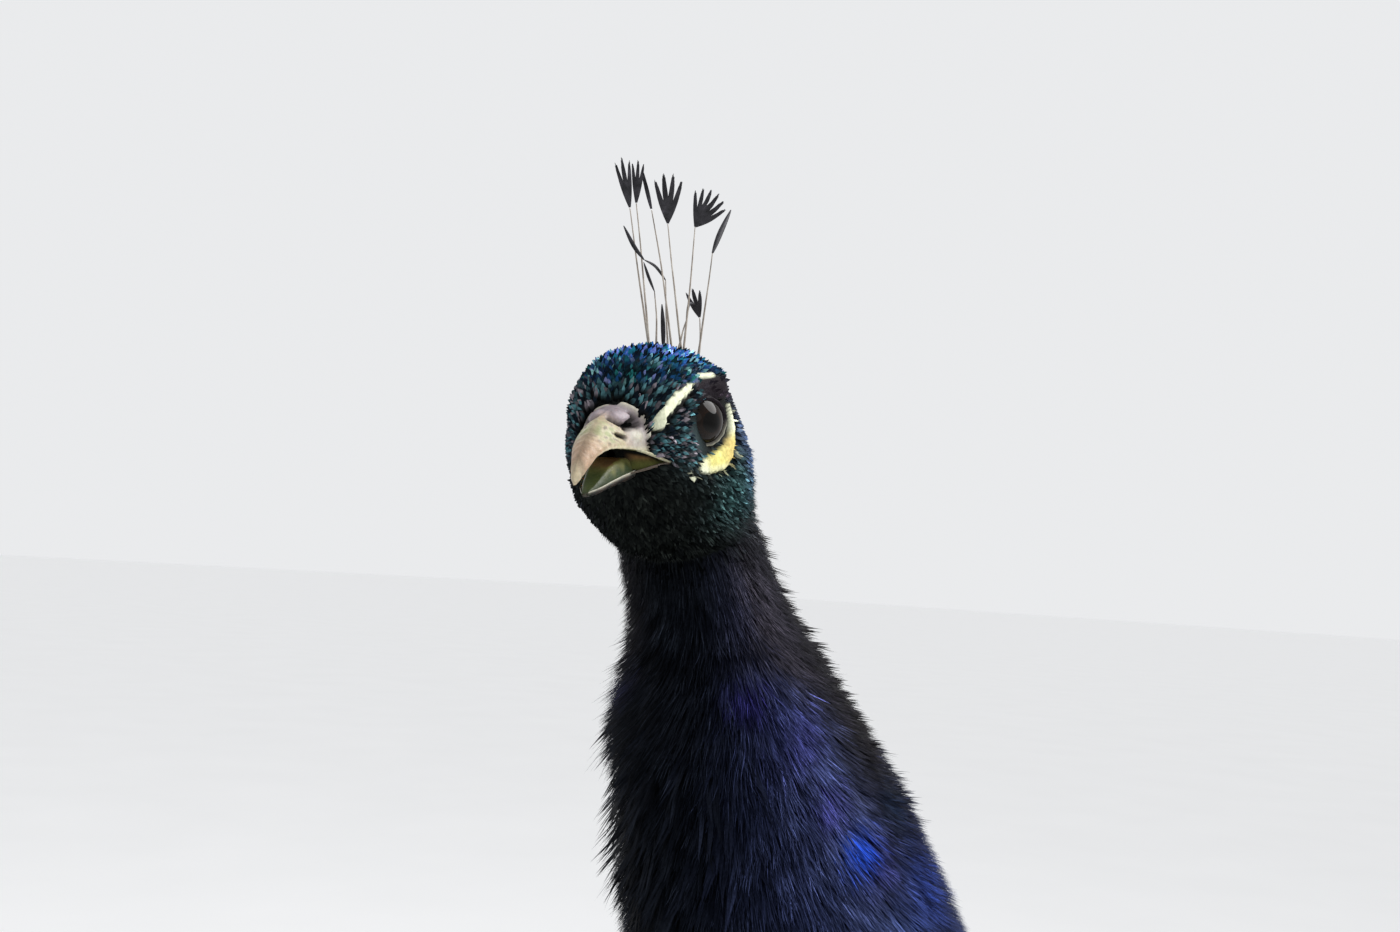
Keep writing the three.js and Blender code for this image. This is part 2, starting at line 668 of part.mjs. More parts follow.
const wingGrown = wing([...covertRows, ...quillRows], 3 * GAP);
const wingsGrown = [wingGrown, mirrored(wingGrown)];
const tailSolid = cutBy(toSolid(tail()), bodyGrown, ...wingsGrown);
place("tail", toGeometry(largest(tailSolid)), MATERIALS.tailFeathers);
const lastTrainRow = TRAIN_ROWS.length - 1;
const trainRootRows = rowsBetween(0, TRAIN_CUTS[0] - SLIT / 2, 6);
const trainRoot = cutBy(toSolid(train(trainRootRows)), bodyGrown, ...wingsGrown, tail(GAP));
place("train_root", toGeometry(largest(trainRoot)), MATERIALS.trainFeathers);
const trainMiddleRows = rowsBetween(TRAIN_CUTS[0] + SLIT / 2, TRAIN_CUTS[1] - SLIT / 2, 5);
place("train_middle", train(trainMiddleRows), MATERIALS.trainFeathers);
const floor = new THREE.BoxGeometry(900, 4000, 80).translate(0, 1000, -40);
const trainEndRows = rowsBetween(TRAIN_CUTS[1] + SLIT / 2, lastTrainRow, 7);
const trainEnd = cutBy(joined(train(trainEndRows), ...trainLeaves()), floor);
place("train_end", toGeometry(largest(trainEnd)), MATERIALS.trainFeathers);

for (const [name, side] of [["left", 1], ["right", -1]]) {
  const upper = toSolid(thigh(side));
  const wingClear = side === 1 ? wingsGrown[0] : wingsGrown[1];
  const leg = cutBy(upper, bodyGrown, wingClear, shank(side, GAP));
  place(`thigh_${name}`, toGeometry(largest(leg)), MATERIALS.thighFeathers);
  place(`shank_${name}`, shank(side), MATERIALS.legs);
  place(`foot_${name}`, foot(side), MATERIALS.legs);
  for (const toe of Object.keys(TOES)) place(`claw_${name}_${toe}`, claw(side, toe), MATERIALS.claws);
  const spurSolid = cutBy(toSolid(spur(side)), shank(side, GAP));
  place(`spur_${name}`, toGeometry(largest(spurSolid)), MATERIALS.claws);
}

// The origin goes to the bottom centre of the bird's box.
const box = new THREE.Box3().setFromObject(bird, true);
bird.position.set(-(box.min.x + box.max.x) / 2, -(box.min.y + box.max.y) / 2, -box.min.z);

export default bird;
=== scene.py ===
# A life-size Indian peafowl cock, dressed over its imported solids.
# The skin, coat, bill, eyes and crest are surfaces worked out with numpy in millimetres.
from math import atan2, asin, cos, pi, radians, sin

import bpy
import numpy as np
from mathutils import Matrix, Vector


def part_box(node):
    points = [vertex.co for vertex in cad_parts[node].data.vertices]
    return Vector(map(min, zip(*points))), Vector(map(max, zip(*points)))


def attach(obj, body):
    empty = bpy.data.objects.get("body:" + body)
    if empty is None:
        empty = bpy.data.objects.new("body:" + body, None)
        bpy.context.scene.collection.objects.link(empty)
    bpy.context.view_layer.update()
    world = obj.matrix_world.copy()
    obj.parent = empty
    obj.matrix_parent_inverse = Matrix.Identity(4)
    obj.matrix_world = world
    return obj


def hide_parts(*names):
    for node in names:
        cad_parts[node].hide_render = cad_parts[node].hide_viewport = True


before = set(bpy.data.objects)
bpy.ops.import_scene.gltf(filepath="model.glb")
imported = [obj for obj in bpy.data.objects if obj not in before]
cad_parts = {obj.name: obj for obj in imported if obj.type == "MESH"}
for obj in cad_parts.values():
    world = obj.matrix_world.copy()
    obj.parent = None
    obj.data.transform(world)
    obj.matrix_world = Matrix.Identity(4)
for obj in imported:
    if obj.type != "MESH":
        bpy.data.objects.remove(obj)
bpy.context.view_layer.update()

rng = np.random.default_rng(11)
mm = 0.001

# ---- the bird's carriage: the same values that shape the solids
carriage = {
    "eyeLine": (-215.0, 725.0),  # y and z midway between the eyes, before the head is turned
    "headPitch": radians(10),    # bill carried below level
    "headTurn": radians(25),     # towards the bird's left
    "twist": (590.0, 702.0),     # the neck twists between these heights
    "twistTopY": -198.0,
    "neckLean": 0.466,
}
eyeSpec = {"radius": 7.5, "forward": 2.0, "up": 0.0, "side": 12.2}


def smooth(x):  # 3x^2 - 2x^3 between 0 and 1
    x = np.clip(x, 0, 1)
    return x * x * (3 - 2 * x)


def bump(x, middle, reach):  # exp(-((x - middle) / reach)^2)
    return np.exp(-((x - middle) / reach) ** 2)


def mix(a, b, t):
    return a + (b - a) * t


def unit(v):
    return v / np.maximum(np.linalg.norm(v, axis=-1, keepdims=True), 1e-9)


def headToBird(forward, up, side):
    # a rigid pitch about the line between the eyes: (forward, up, side) -> (x, y, z)
    pitch = carriage["headPitch"]
    y = carriage["eyeLine"][0] - forward * cos(pitch) - up * sin(pitch)
    z = carriage["eyeLine"][1] - forward * sin(pitch) + up * cos(pitch)
    return np.stack(np.broadcast_arrays(side + 0.0 * y, y, z), -1)


def birdToHead(p):
    # the inverse of headToBird
    pitch = carriage["headPitch"]
    dy = p[..., 1] - carriage["eyeLine"][0]
    dz = p[..., 2] - carriage["eyeLine"][1]
    return -dy * cos(pitch) - dz * sin(pitch), -dy * sin(pitch) + dz * cos(pitch), p[..., 0]


def turnHead(p):
    # each level turns about the neck's own line by headTurn * smooth((z - low) / (high - low))
    low, high = carriage["twist"]
    angle = carriage["headTurn"] * smooth((p[..., 2] - low) / (high - low))
    axisY = carriage["twistTopY"] + carriage["neckLean"] * np.maximum(0, high - p[..., 2])
    x, y = p[..., 0], p[..., 1] - axisY
    turned = (x * np.cos(angle) - y * np.sin(angle), axisY + x * np.sin(angle) + y * np.cos(angle),
              p[..., 2])
    return np.stack(turned, -1)


# the solids were moved to put the origin under the bird's box: the left eye tells by how much
eyeBox = np.array(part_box("eye_left"))
eyeHome = turnHead(headToBird(eyeSpec["forward"], eyeSpec["up"], eyeSpec["side"]))
shift = eyeBox.mean(0) - eyeHome * mm


def tableAt(rows, t):
    # Catmull-Rom through a table's rows at row numbers t of any shape, columns on the last axis
    rows = np.array(rows, float)
    padded = np.vstack([2 * rows[0] - rows[1], rows, 2 * rows[-1] - rows[-2]])
    i = np.clip(np.floor(t).astype(int), 0, len(rows) - 2)
    f = (t - i)[..., None]
    a, b, c, d = (padded[i + k] for k in range(4))
    return b + 0.5 * f * (c - a + f * (2 * a - 5 * b + 4 * c - d + f * (3 * (b - c) + d - a)))


# ---- mesh and material helpers
def meshFrom(name, verts, faces, finish, uvs=None, colours=None):
    # verts in millimetres of the unmoved bird; faces an (n, 3) or (n, 4) array, or a list of such arrays
    faces = [faces] if isinstance(faces, np.ndarray) else faces
    verts = np.asarray(verts, float).reshape(-1, 3) * mm + shift
    mesh = bpy.data.meshes.new(name)
    mesh.vertices.add(len(verts))
    mesh.vertices.foreach_set("co", verts.astype(np.float32).ravel())
    corners = np.concatenate([f.ravel() for f in faces]).astype(np.int32)
    sizes = np.concatenate([np.full(len(f), f.shape[1]) for f in faces])
    mesh.loops.add(len(corners))
    mesh.loops.foreach_set("vertex_index", corners)
    mesh.polygons.add(len(sizes))
    mesh.polygons.foreach_set("loop_start", np.concatenate([[0], np.cumsum(sizes)[:-1]]).astype(np.int32))
    mesh.polygons.foreach_set("use_smooth", np.ones(len(sizes), bool))
    for uvName, uv in (uvs or {}).items():
        layer = mesh.uv_layers.new(name=uvName)
        layer.data.foreach_set("uv", np.asarray(uv, np.float32).reshape(-1, 2)[corners].ravel())
    for colourName, colour in (colours or {}).items():
        colour = np.asarray(colour, np.float32).reshape(-1, 3)
        opaque = np.hstack([colour, np.ones((len(colour), 1), np.float32)])
        attribute = mesh.color_attributes.new(name=colourName, type="FLOAT_COLOR", domain="POINT")
        attribute.data.foreach_set("color", opaque.ravel())
    mesh.update()
    mesh.validate()
    mesh.materials.append(finish)
    piece = bpy.data.objects.new(name, mesh)
    bpy.context.collection.objects.link(piece)
    return piece


def gridFaces(rows, columns, closed=True, start=0):
    # quads of a grid, row by row, with the last column joined to the first when closed
    r = np.arange(rows - 1)[:, None]
    c = np.arange(columns if closed else columns - 1)[None, :]
    n = (c + 1) % columns
    quads = np.stack([r * columns + c, r * columns + n, (r + 1) * columns + n, (r + 1) * columns + c], -1)
    return quads.reshape(-1, 4) + start


def shellFrom(points, flip=False):
    # a grid of points (rows, around, 3) made a closed shell: verts and faces, with a fan over each end
    rows, around = points.shape[:2]
    verts = np.vstack([points.reshape(-1, 3), points[0].mean(0), points[-1].mean(0)])
    j = np.arange(around)
    k = (j + 1) % around
    low, high = rows * around, rows * around + 1
    base = (rows - 1) * around
    quads = gridFaces(rows, around)
    first = np.stack([np.full(around, low), k, j], -1)
    last = np.stack([np.full(around, high), base + j, base + k], -1)
    ends = np.vstack([first, last])
    if flip:
        quads, ends = quads[:, ::-1], ends[:, ::-1]
    return verts, [quads, ends]


def shellTint(tint):
    # colours for a shell's grid and for the middles of its two ends
    return np.vstack([tint.reshape(-1, 3), tint[0].mean(0), tint[-1].mean(0)])


def ringGrid(along, around):
    # the values along a shell and the angles round it, as two grids
    return np.meshgrid(along, np.linspace(0, 2 * pi, around, endpoint=False), indexing="ij")


def repeated(faces, count, size):
    # the same faces for each of count pieces, each of size vertices
    return (faces[None] + (np.arange(count) * size)[:, None, None]).reshape(-1, faces.shape[1])


def halved(quads):
    # two triangles for each quad
    return np.vstack([quads[:, [0, 1, 2]], quads[:, [0, 2, 3]]])


def joinShells(shells):
    # several (verts, [faces...]) as one
    verts, faces, start = [], [], 0
    for v, parts in shells:
        verts.append(v)
        faces += [f + start for f in parts]
        start += len(v)
    return np.vstack(verts), faces


def addPiece(name, shell, finish, slotName, *nodes, **layers):
    # a mesh that rides on the bird's one body and stands for the solids named
    piece = meshFrom(name, *shell, finish, **layers)
    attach(piece, "root")
    if nodes:
        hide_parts(*nodes)
    return piece


class Finish:
    # a material with its Principled shader, and short calls for the nodes that feed it
    def __init__(self, name, **values):
        self.material = bpy.data.materials.new(name)
        self.material.use_nodes = True
        self.tree = self.material.node_tree
        self.shader = self.tree.nodes["Principled BSDF"]
        for socket, value in values.items():
            self.shader.inputs[socket.replace("_", " ")].default_value = value

    def node(self, kind, feeds=None, **settings):
        made = self.tree.nodes.new(kind)
        for key, value in settings.items():
            setattr(made, key, value)
        for socket, value in (feeds or {}).items():
            if isinstance(value, bpy.types.NodeSocket):
                self.tree.links.new(value, made.inputs[socket])
            else:
                made.inputs[socket].default_value = value
        return made

    def output(self, kind, name, feeds=None, **settings):
        return self.node(kind, feeds, **settings).outputs[name]

    def link(self, source, socket):
        self.tree.links.new(source, self.shader.inputs[socket])

    def colourOf(self, attribute):
        return self.output("ShaderNodeVertexColor", "Color", layer_name=attribute)

    def redOf(self, attribute):
        return self.output("ShaderNodeSeparateColor", "Red", {"Color": self.colourOf(attribute)})

    def place(self):
        return self.output("ShaderNodeTexCoord", "Object")

    def noise(self, scale, detail=3, roughness=0.5):
        feeds = {"Vector": self.place(), "Scale": scale, "Detail": detail, "Roughness": roughness}
        return self.output("ShaderNodeTexNoise", "Fac", feeds)

    def math(self, operation, *values):
        return self.output("ShaderNodeMath", "Value", dict(enumerate(values)), operation=operation)

    def times(self, a, b):
        return self.math("MULTIPLY", a, b)

    def plus(self, a, b):
        return self.math("ADD", a, b)

    def awayFrom(self, value, middle):
        return self.math("ABSOLUTE", self.math("SUBTRACT", value, middle))

    def length(self, a, b):
        return self.math("SQRT", self.plus(self.math("POWER", a, 2.0), self.math("POWER", b, 2.0)))

    def remap(self, value, low, high, toLow, toHigh):
        feeds = {"Value": value, "From Min": low, "From Max": high, "To Min": toLow, "To Max": toHigh}
        return self.output("ShaderNodeMapRange", "Result", feeds)

    def ramp(self, value, stops):
        made = self.node("ShaderNodeValToRGB", {"Fac": value})
        elements = made.color_ramp.elements
        while len(elements) < len(stops):
            elements.new(0.5)
        for element, (at, colour) in zip(elements, stops):
            element.position = at
            element.color = (*colour, 1)
        return made.outputs["Color"]

    def blend(self, fac, a, b, how="MIX"):
        a, b = (value if isinstance(value, bpy.types.NodeSocket) else (*value, 1) for value in (a, b))
        return self.output("ShaderNodeMix", 2, {0: fac, 6: a, 7: b}, data_type="RGBA", blend_type=how)

    def mottled(self, colour, scale, detail, low, high, roughness=0.5):
        # the colour times a noise that runs from low to high
        grain = self.remap(self.noise(scale, detail, roughness), 0.3, 0.7, low, high)
        return self.blend(1.0, colour, grain, "MULTIPLY")

    def bumpFrom(self, height, distance, strength=1.0):
        feeds = {"Height": height, "Distance": distance, "Strength": strength}
        self.link(self.output("ShaderNodeBump", "Normal", feeds), "Normal")


def rampFinish(name, grain, stops, relief, **values):
    # a noise of scale and detail run through stops of colour, and a bump: scale, detail, distance, strength
    made = Finish(name, **values)
    made.link(made.ramp(made.noise(*grain), stops), "Base Color")
    made.bumpFrom(made.noise(*relief[:2]), *relief[2:])
    return made


def markedFinish(name, grain, relief, **values):
    # the piece's own marking, mottled by grain: scale, detail, low, high; and a bump as above
    made = Finish(name, **values)
    made.link(made.mottled(made.colourOf("marking"), *grain), "Base Color")
    made.bumpFrom(made.noise(*relief[:2]), *relief[2:])
    return made


# ---- the body's own surface
trunkRings = [  # back y, z, belly y, z, half width, squareness, egg: from the rump up the neck
    (241, 401, 247, 377, 14, 2.0, 0), (236, 411, 243, 365, 34, 2.0, 0), (212, 422, 219, 346, 55, 2.0, 0),
    (172, 434, 179, 324, 72, 2.1, 0), (123, 443, 128, 303, 84, 2.1, 0), (75, 451, 75, 290, 91, 2.2, 0),
    (30, 459, 18, 286, 94, 2.2, 0), (-3, 467, -39, 294, 93, 2.2, 0), (-26, 474, -92, 314, 88, 2.1, 0),
    (-40, 483, -134, 350, 80, 2.1, 0), (-48, 496, -158, 396, 71, 2.0, 0), (-53, 516, -171, 443, 62, 2.0, 0),
    (-60, 546, -176, 489, 55, 2.0, 0), (-74, 579, -180, 531, 49, 2.0, 0),
    (-93, 612, -185.5, 571, 42.3, 2.0, 0), (-113.4, 642.6, -194.5, 607.5, 35.2, 2.0, 0),
    (-135.7, 668.2, -200.5, 638.5, 29.0, 2.0, 0), (-153, 687.6, -194.5, 664, 22.2, 2.0, 0),
]
# crown forward, up, throat forward, up, half width, squareness, egg: from the nape to the bill
headRings = [
    (-43.8, -27.4, -9, -38.6, 20.0, 2.0, 0), (-40.2, -13.6, -1, -36.6, 20.0, 2.0, 0.02),
    (-34, -2, 7, -33.6, 20.0, 2.05, 0.04), (-28, 8, 12.8, -29.6, 19.8, 2.1, 0.05),
    (-19.5, 14.2, 16.6, -26.2, 19.4, 2.15, 0.05), (-9.5, 17.5, 19.2, -23.2, 18.9, 2.2, 0.05),
    (1.5, 18.3, 21.3, -20.7, 17.8, 2.2, 0.05), (11.5, 16.9, 23.2, -18.5, 15.8, 2.3, 0.05),
    (19.3, 13.3, 24.9, -16.5, 13.3, 2.3, 0.03), (23.6, 8.8, 26.2, -14.5, 10.8, 2.1, 0),
    (26.0, 4.0, 27.4, -12.6, 8.6, 2.0, 0),
    (28.0, 1.6, 27.5, -11.4, 3.4, 2.0, 0),  # closes inside the bill's root
]
crownEnds = headToBird(*np.array(headRings)[:, 0:2].T, 0.0)
throatEnds = headToBird(*np.array(headRings)[:, 2:4].T, 0.0)
headRows = np.hstack([crownEnds[:, 1:], throatEnds[:, 1:], np.array(headRings)[:, 4:]])
bodyRows = np.vstack([np.array(trunkRings, float), headRows])
headRow = len(trunkRings)
lastRow = len(bodyRows) - 1
faceBumps = [  # forward, up, side, height, reach
    (2, 0, 18.8, -3.2, 5.5),   # eye socket
    (-4, 10, 16, 3.4, 4.4),    # brow
    (4, -14, 15, 0.9, 7),      # cheek
    (-14, -13, 18, 2.6, 7),    # ear
    (-2, 16.5, 13, -1.5, 4.5),  # side of the crown, over the brow
    (17, 0, 12, -0.5, 5.5),    # lore
    (10, -0.5, 15.8, -0.6, 4.2),  # hollow in front of the eye
]


def facePush(p):
    # sum of height * exp(-distance^2 / (2 reach^2)) over the swellings and hollows of both cheeks
    forward, up, side = birdToHead(p)
    total = np.zeros(forward.shape)
    for f, u, s, height, reach in faceBumps:
        d2 = (forward - f) ** 2 + (up - u) ** 2 + (np.abs(side) - s) ** 2
        total += height * np.exp(-d2 / (2 * reach * reach))
    return total


def bodyPoint(t, a, grow=0.0):
    # ring t of the table, at angle a from its back line: a squared oval with its own egg, and facePush on it
    top = tableAt(bodyRows, t)
    topYZ, lowYZ = top[..., 0:2], top[..., 2:4]
    width, squareness, egg = top[..., 4], top[..., 5], top[..., 6]
    centre, half = (topYZ + lowYZ) / 2, (topYZ - lowYZ) / 2
    height = np.linalg.norm(half, axis=-1)
    rise = np.sign(np.cos(a)) * np.abs(np.cos(a)) ** (2 / squareness)
    side = np.sign(np.sin(a)) * np.abs(np.sin(a)) ** (2 / squareness)
    yz = centre + half * (rise * (1 + grow / height))[..., None]
    p = np.concatenate([(side * (1 + egg * rise) * (width + grow))[..., None], yz], -1)
    middle = np.concatenate([np.zeros(width.shape + (1,)), centre], -1)
    return p + unit(p - middle) * facePush(p)[..., None]


# ---- markings: one set of colours for the skin and for the coat
colourOf = {
    "crownBlue": (0.004, 0.018, 0.060), "crownTeal": (0.004, 0.026, 0.030),
    "crownDark": (0.007, 0.007, 0.007), "throat": (0.0032, 0.0038, 0.0033),
    # the neck's violet and teal are painted sheen only; its cobalt is the lower neck's own colour and also a
    # painted sheen in patches
    "neckNavy": (0.0120, 0.0160, 0.042), "neckCobalt": (0.003, 0.024, 0.21),
    "neckVioletSheen": (0.016, 0.014, 0.085), "earTeal": (0.014, 0.034, 0.034), "earBlue": (0.022, 0.034, 0.070),
    "lore": (0.034, 0.052, 0.056), "nape": (0.0110, 0.0090, 0.0100), "brow": (0.0095, 0.0070, 0.0095),
    "bareWhite": (0.62, 0.64, 0.47), "bareYellow": (0.55, 0.50, 0.17), "bareAmber": (0.52, 0.38, 0.14),
    "skin": (0.010, 0.009, 0.009), "backGreen": (0.050, 0.120, 0.022), "backGold": (0.210, 0.170, 0.040),
    "neckTealSheen": (0.002, 0.030, 0.075), "belly": (0.010, 0.012, 0.011), "breastBlue": (0.006, 0.050, 0.130),
}


def colour(name):
    return np.array(colourOf[name])


def lay(base, over, amount):
    # over painted on base by amount, for arrays of colours
    return base + (over - base) * np.clip(amount, 0, 1)[..., None]


def strokeMask(f, u, start, end, halfWidth, soft=0.8):
    # 1 on a stroke from start to end whose half width varies along it as a function of 0..1
    ax, ay = start
    bx, by = end
    length2 = (bx - ax) ** 2 + (by - ay) ** 2
    k = np.clip(((f - ax) * (bx - ax) + (u - ay) * (by - ay)) / length2, 0, 1)
    d = np.hypot(f - ax - k * (bx - ax), u - ay - k * (by - ay))
    return smooth((halfWidth(k) - d) / soft + 0.5)


# forward, up and half width along each bare patch of the face
bareSpec = {
    "stripe": [(23.8, -0.7, 0.60), (22.5, 2.4, 0.95), (20.1, 4.5, 1.05), (16.8, 6.6, 1.10),
               (13.0, 8.3, 0.90), (9.5, 9.5, 0.45)],
    "fleck": [(4.8, 11.3, 0.50), (-0.8, 11.5, 0.55)],
    "chip": [(14.2, -12.3, 0.65), (12.2, -13.8, 0.80)],
    "crescent": [(-9.6, 3.4, 0.45), (-9.9, 0.4, 0.75), (-8.9, -2.5, 0.95), (-6.8, -5.3, 1.20),
                 (-4.0, -8.0, 2.00), (-0.2, -9.8, 2.45), (7.2, -10.6, 2.00), (10.4, -10.8, 1.50)],
    "rightStart": 12.5,  # the right stripe begins this far forward, as the feathers before it lie over it
}


def patchMask(f, u, name, grow, soft=0.6):
    # the greatest of the strokes between neighbouring points of a patch
    points = bareSpec[name]
    strokes = [strokeMask(f, u, a[:2], b[:2], lambda k, a=a, b=b: a[2] + (b[2] - a[2]) * k + grow, soft)
               for a, b in zip(points, points[1:])]
    return np.max(strokes, 0)


def bareMasks(f, u, side, grow=0.0):
    # the white stripe over the eye and the pale crescent behind and under it, in the head's frame
    ragged = 0.22 * np.sin(2.3 * f + 1.1 * np.sin(3.1 * u))
    stripe = patchMask(f, u, "stripe", grow + ragged * (f > 8))
    stripe = stripe * np.where(side < 0, smooth((bareSpec["rightStart"] - f) / 2), 1)
    stripe = np.maximum(stripe, np.maximum(patchMask(f, u, "fleck", grow), patchMask(f, u, "chip", grow)))
    crescent = patchMask(f, u, "crescent", ragged * 0.6 + grow * smooth((u + 7) / 3), 0.8)
    return stripe, crescent


def browMask(f, u):
    # the bare dark brow between the eye, its lid and the crown
    return strokeMask(f, u, (-10.5, 9.2), (6.0, 7.6), lambda k: 3.3, 1.5)


def bareColour(f, u):
    # creamy at the top of the crescent, yellow below and amber at its outer bend
    lower = mix(colour("bareYellow"), colour("bareAmber"), (0.7 * bump(f, -5, 3.5))[..., None])
    speckle = 0.5 + 0.5 * np.sin(2.9 * f + 1.7 * np.sin(1.9 * u)) * np.sin(3.1 * u + 1.3 * np.sin(2.3 * f))
    lower = lower * (0.75 + 0.5 * speckle[..., None])
    lower = lay(lower, colour("bareWhite"), 0.8 * smooth((f - 6) / 5) + 0.5 * smooth((-u - 10.2) / 1.5))
    return mix(lower, colour("bareWhite"), smooth((u + 5.5) / 4)[..., None])


# painted sheen on the neck: patches of violet, cobalt and teal where its feathers catch the light; forward,
# up, side in the head's frame, reach, strength, colour
neckSheenPatches = [
    (-22, -84, 27, 9, 0.45, "neckVioletSheen"), (-12.7, -73, 17, 4.5, 0.80, "neckVioletSheen"),
    (-68, -134, 36, 12, 0.35, "neckCobalt"), (-30, -104, 33, 6, 0.55, "neckVioletSheen"),
    (-47, -122, 38, 7, 0.50, "neckVioletSheen"), (-40, -118, 37, 5.2, 0.95, "neckCobalt"),
    (-61, -109, 35, 6, 0.45, "neckTealSheen"), (-52, -95, 33, 5, 0.30, "neckTealSheen"),
]


def painted(base, layers):
    # each layer's colour laid over the last by its mask
    for tint, mask in layers:
        base = lay(base, colour(tint) if isinstance(tint, str) else tint, mask)
    return base


def bodyColour(t, a, p):
    # the markings at ring t, angle a and unturned place p
    f, u, side = birdToHead(p)
    onTop = np.cos(a)
    # trunk and neck: blue breast, dark belly, green back, a black throat that is painted shade, reaching
    # further round on the bird's right, then cobalt and a brown-black nape
    trunk = smooth((11.5 - t) / 2.5)
    frontShade = smooth((-onTop - 0.45 + 0.5 * smooth(-side / 20)) / 0.6) * smooth((t - 13.4) / 1.2)
    base = painted(np.broadcast_to(colour("neckNavy"), p.shape).copy(), [
        ("breastBlue", smooth((14.5 - t) / 3) * smooth((0.35 - onTop) / 0.5)),
        ("belly", smooth((8.5 - t) / 2) * smooth((0.2 - onTop) / 0.4)),
        (mix(colour("backGreen"), colour("backGold"), 0.4), trunk * smooth((onTop + 0.15) / 0.4)),
        ("throat", 0.9 * frontShade),
    ])
    # painted sheen patches, weakened to a quarter by painted shade on the bird's right side
    farSideShade = mix(1, 0.25, smooth(-side / 10))
    for patchF, patchU, patchSide, reach, strength, name in neckSheenPatches:
        d2 = (f - patchF) ** 2 + (u - patchU) ** 2 + (np.abs(side) - patchSide) ** 2
        base = lay(base, colour(name), strength * farSideShade * np.exp(-d2 / reach ** 2))
    onNape = smooth((onTop + 0.2 + 0.8 * smooth((t - 15.7) / 1.4)) / 0.55)
    base = painted(base, [
        ("neckCobalt", 0.8 * smooth((12.6 - t) / 1.6) * smooth((t - 10.2) / 1.5)),
        ("nape", 0.9 * onNape * smooth((t - 14.6) / 0.8) * smooth((19.0 - t) / 0.8)),
    ])
    # painted shade: the upper side of the neck, from ring 13 up, is darkened to 45 per cent
    base *= mix(1, 0.45, smooth((onTop + 0.3) / 0.6) * smooth((t - 13) / 2))[..., None]
    # head: black chin, blue-green ear, teal-grey lores, teal crown, then the bare skin
    onHead = smooth((t - headRow + 0.8) / 1.6)
    crownBlend = (0.5 + 0.5 * np.sin(0.35 * f + 0.3 * side))[..., None]
    temple = smooth((np.abs(side) - 3.5) / 4) * smooth((10.5 - u) / 3) * smooth((f - 7) / 5)
    stripe, crescent = bareMasks(f, u, side)
    onFace = smooth((np.abs(side) - 5) / 3) * smooth((t - headRow - 2) / 1.5)
    return painted(base, [
        ("throat", onHead),
        ("earTeal", 0.9 * onHead * bump(f, -10, 12) * bump(u, -17, 8)),
        ("earBlue", 0.8 * onHead * bump(f, -17, 6) * bump(u, -8, 9)),
        ("lore", 0.9 * onHead * bump(f, 14, 6) * bump(u, -5, 5.5)),
        (mix(colour("crownBlue"), colour("crownTeal"), crownBlend), onHead * smooth((u - 6.5) / 4)),
        ("crownDark", onHead * temple * smooth((u - 0.5) / 3)),
        ("brow", onHead * browMask(f, u) * smooth((np.abs(side) - 10) / 4)),
        ("bareWhite", stripe * onFace),
        (bareColour(f, u), crescent * onFace),
    ])


def mouthWedge(f, u):
    # the corner of the open mouth: a wedge from its back corner to the bill
    k = np.clip((f - 20.4) / 8, 0, 1.2)
    middle = -9.0 + 0.5 * k
    return smooth((2.5 * k - np.abs(u - middle)) / 0.8 + 0.5) * smooth((f - 20.2) / 0.6)


# ---- the body's skin: one surface for the head, neck and trunk, lying inside the solids by the coat's depth
skinSpec = {
    "rows": (70, 70, 190),  # trunk, neck and head
    "around": 208,
    # how deep the coat is at each ring
    "depth": [(0, 9), (8, 9), (12, 8), (15, 5.5), (17, 3.5), (19, 2.2), (21, 1.4), (24, 1.0), (28, 0.6),
              (29, 0.3)],
}


def coatDepth(t):
    at, deep = np.array(skinSpec["depth"]).T
    return np.interp(t, at, deep)


def skinPoint(t, a):
    # bodyPoint shrunk by coatDepth, with the bare patches of the face raised to the coat's level
    # and the sides drawn in round the bill's root
    drawnIn = 3.8 * smooth((t - 26.2) / 0.9) * np.abs(np.sin(a)) ** 1.5 * smooth((np.cos(a) + 0.75) / 0.5)
    p = bodyPoint(t, a, -coatDepth(t) - drawnIn)
    f, u, side = birdToHead(p)
    stripe, crescent = bareMasks(f, u, side)
    raised = (0.45 * stripe + 1.25 * crescent + 0.9 * browMask(f, u)) * smooth((np.abs(side) - 5) / 3)
    raised *= smooth((t - headRow - 2) / 1.5)
    raised -= 2.6 * mouthWedge(f, u) * smooth((np.abs(side) - 3) / 3)
    return p + unit(p - p.mean(-2, keepdims=True)) * raised[..., None]


def bodySkin():
    trunkCount, neckCount, headCount = skinSpec["rows"]
    t = np.concatenate([
        np.linspace(0, 11, trunkCount, endpoint=False),
        np.linspace(11, headRow, neckCount, endpoint=False),
        np.linspace(headRow, lastRow, headCount),
    ])
    t, a = ringGrid(t, skinSpec["around"])
    p = skinPoint(t, a)
    f, u, side = birdToHead(p)
    tint = bodyColour(t, a, p)
    wedge = mix(np.array((0.085, 0.092, 0.026)), np.array((0.15, 0.085, 0.035)),
                smooth((u + 9.0) / 1.6)[..., None])
    # painted shade: the mouth's corner darkens towards its back
    wedge = wedge * mix(0.25, 1.0, smooth((f - 21) / 4))[..., None]
    tint = lay(tint, wedge, mouthWedge(f, u) * smooth((np.abs(side) - 3) / 3) * smooth((29 - f) / 2))
    return *shellFrom(turnHead(p)), shellTint(tint)


print("eyes")
# ---- eyes: a ball whose cornea swells over the pupil, and lids that lie on it
lookSpec = {
    "outFrom": radians(35),   # the eye looks this far ahead of straight sideways
    "cornea": 0.05,           # swelling of the cornea, as a share of the radius
    "opening": radians(45), "corner": radians(50),  # the lids' opening, and at its corners
    "lidHeight": 0.6, "lidEnd": radians(70), "lidGrid": (16, 96),
    "ballGrid": (60, 64),
}


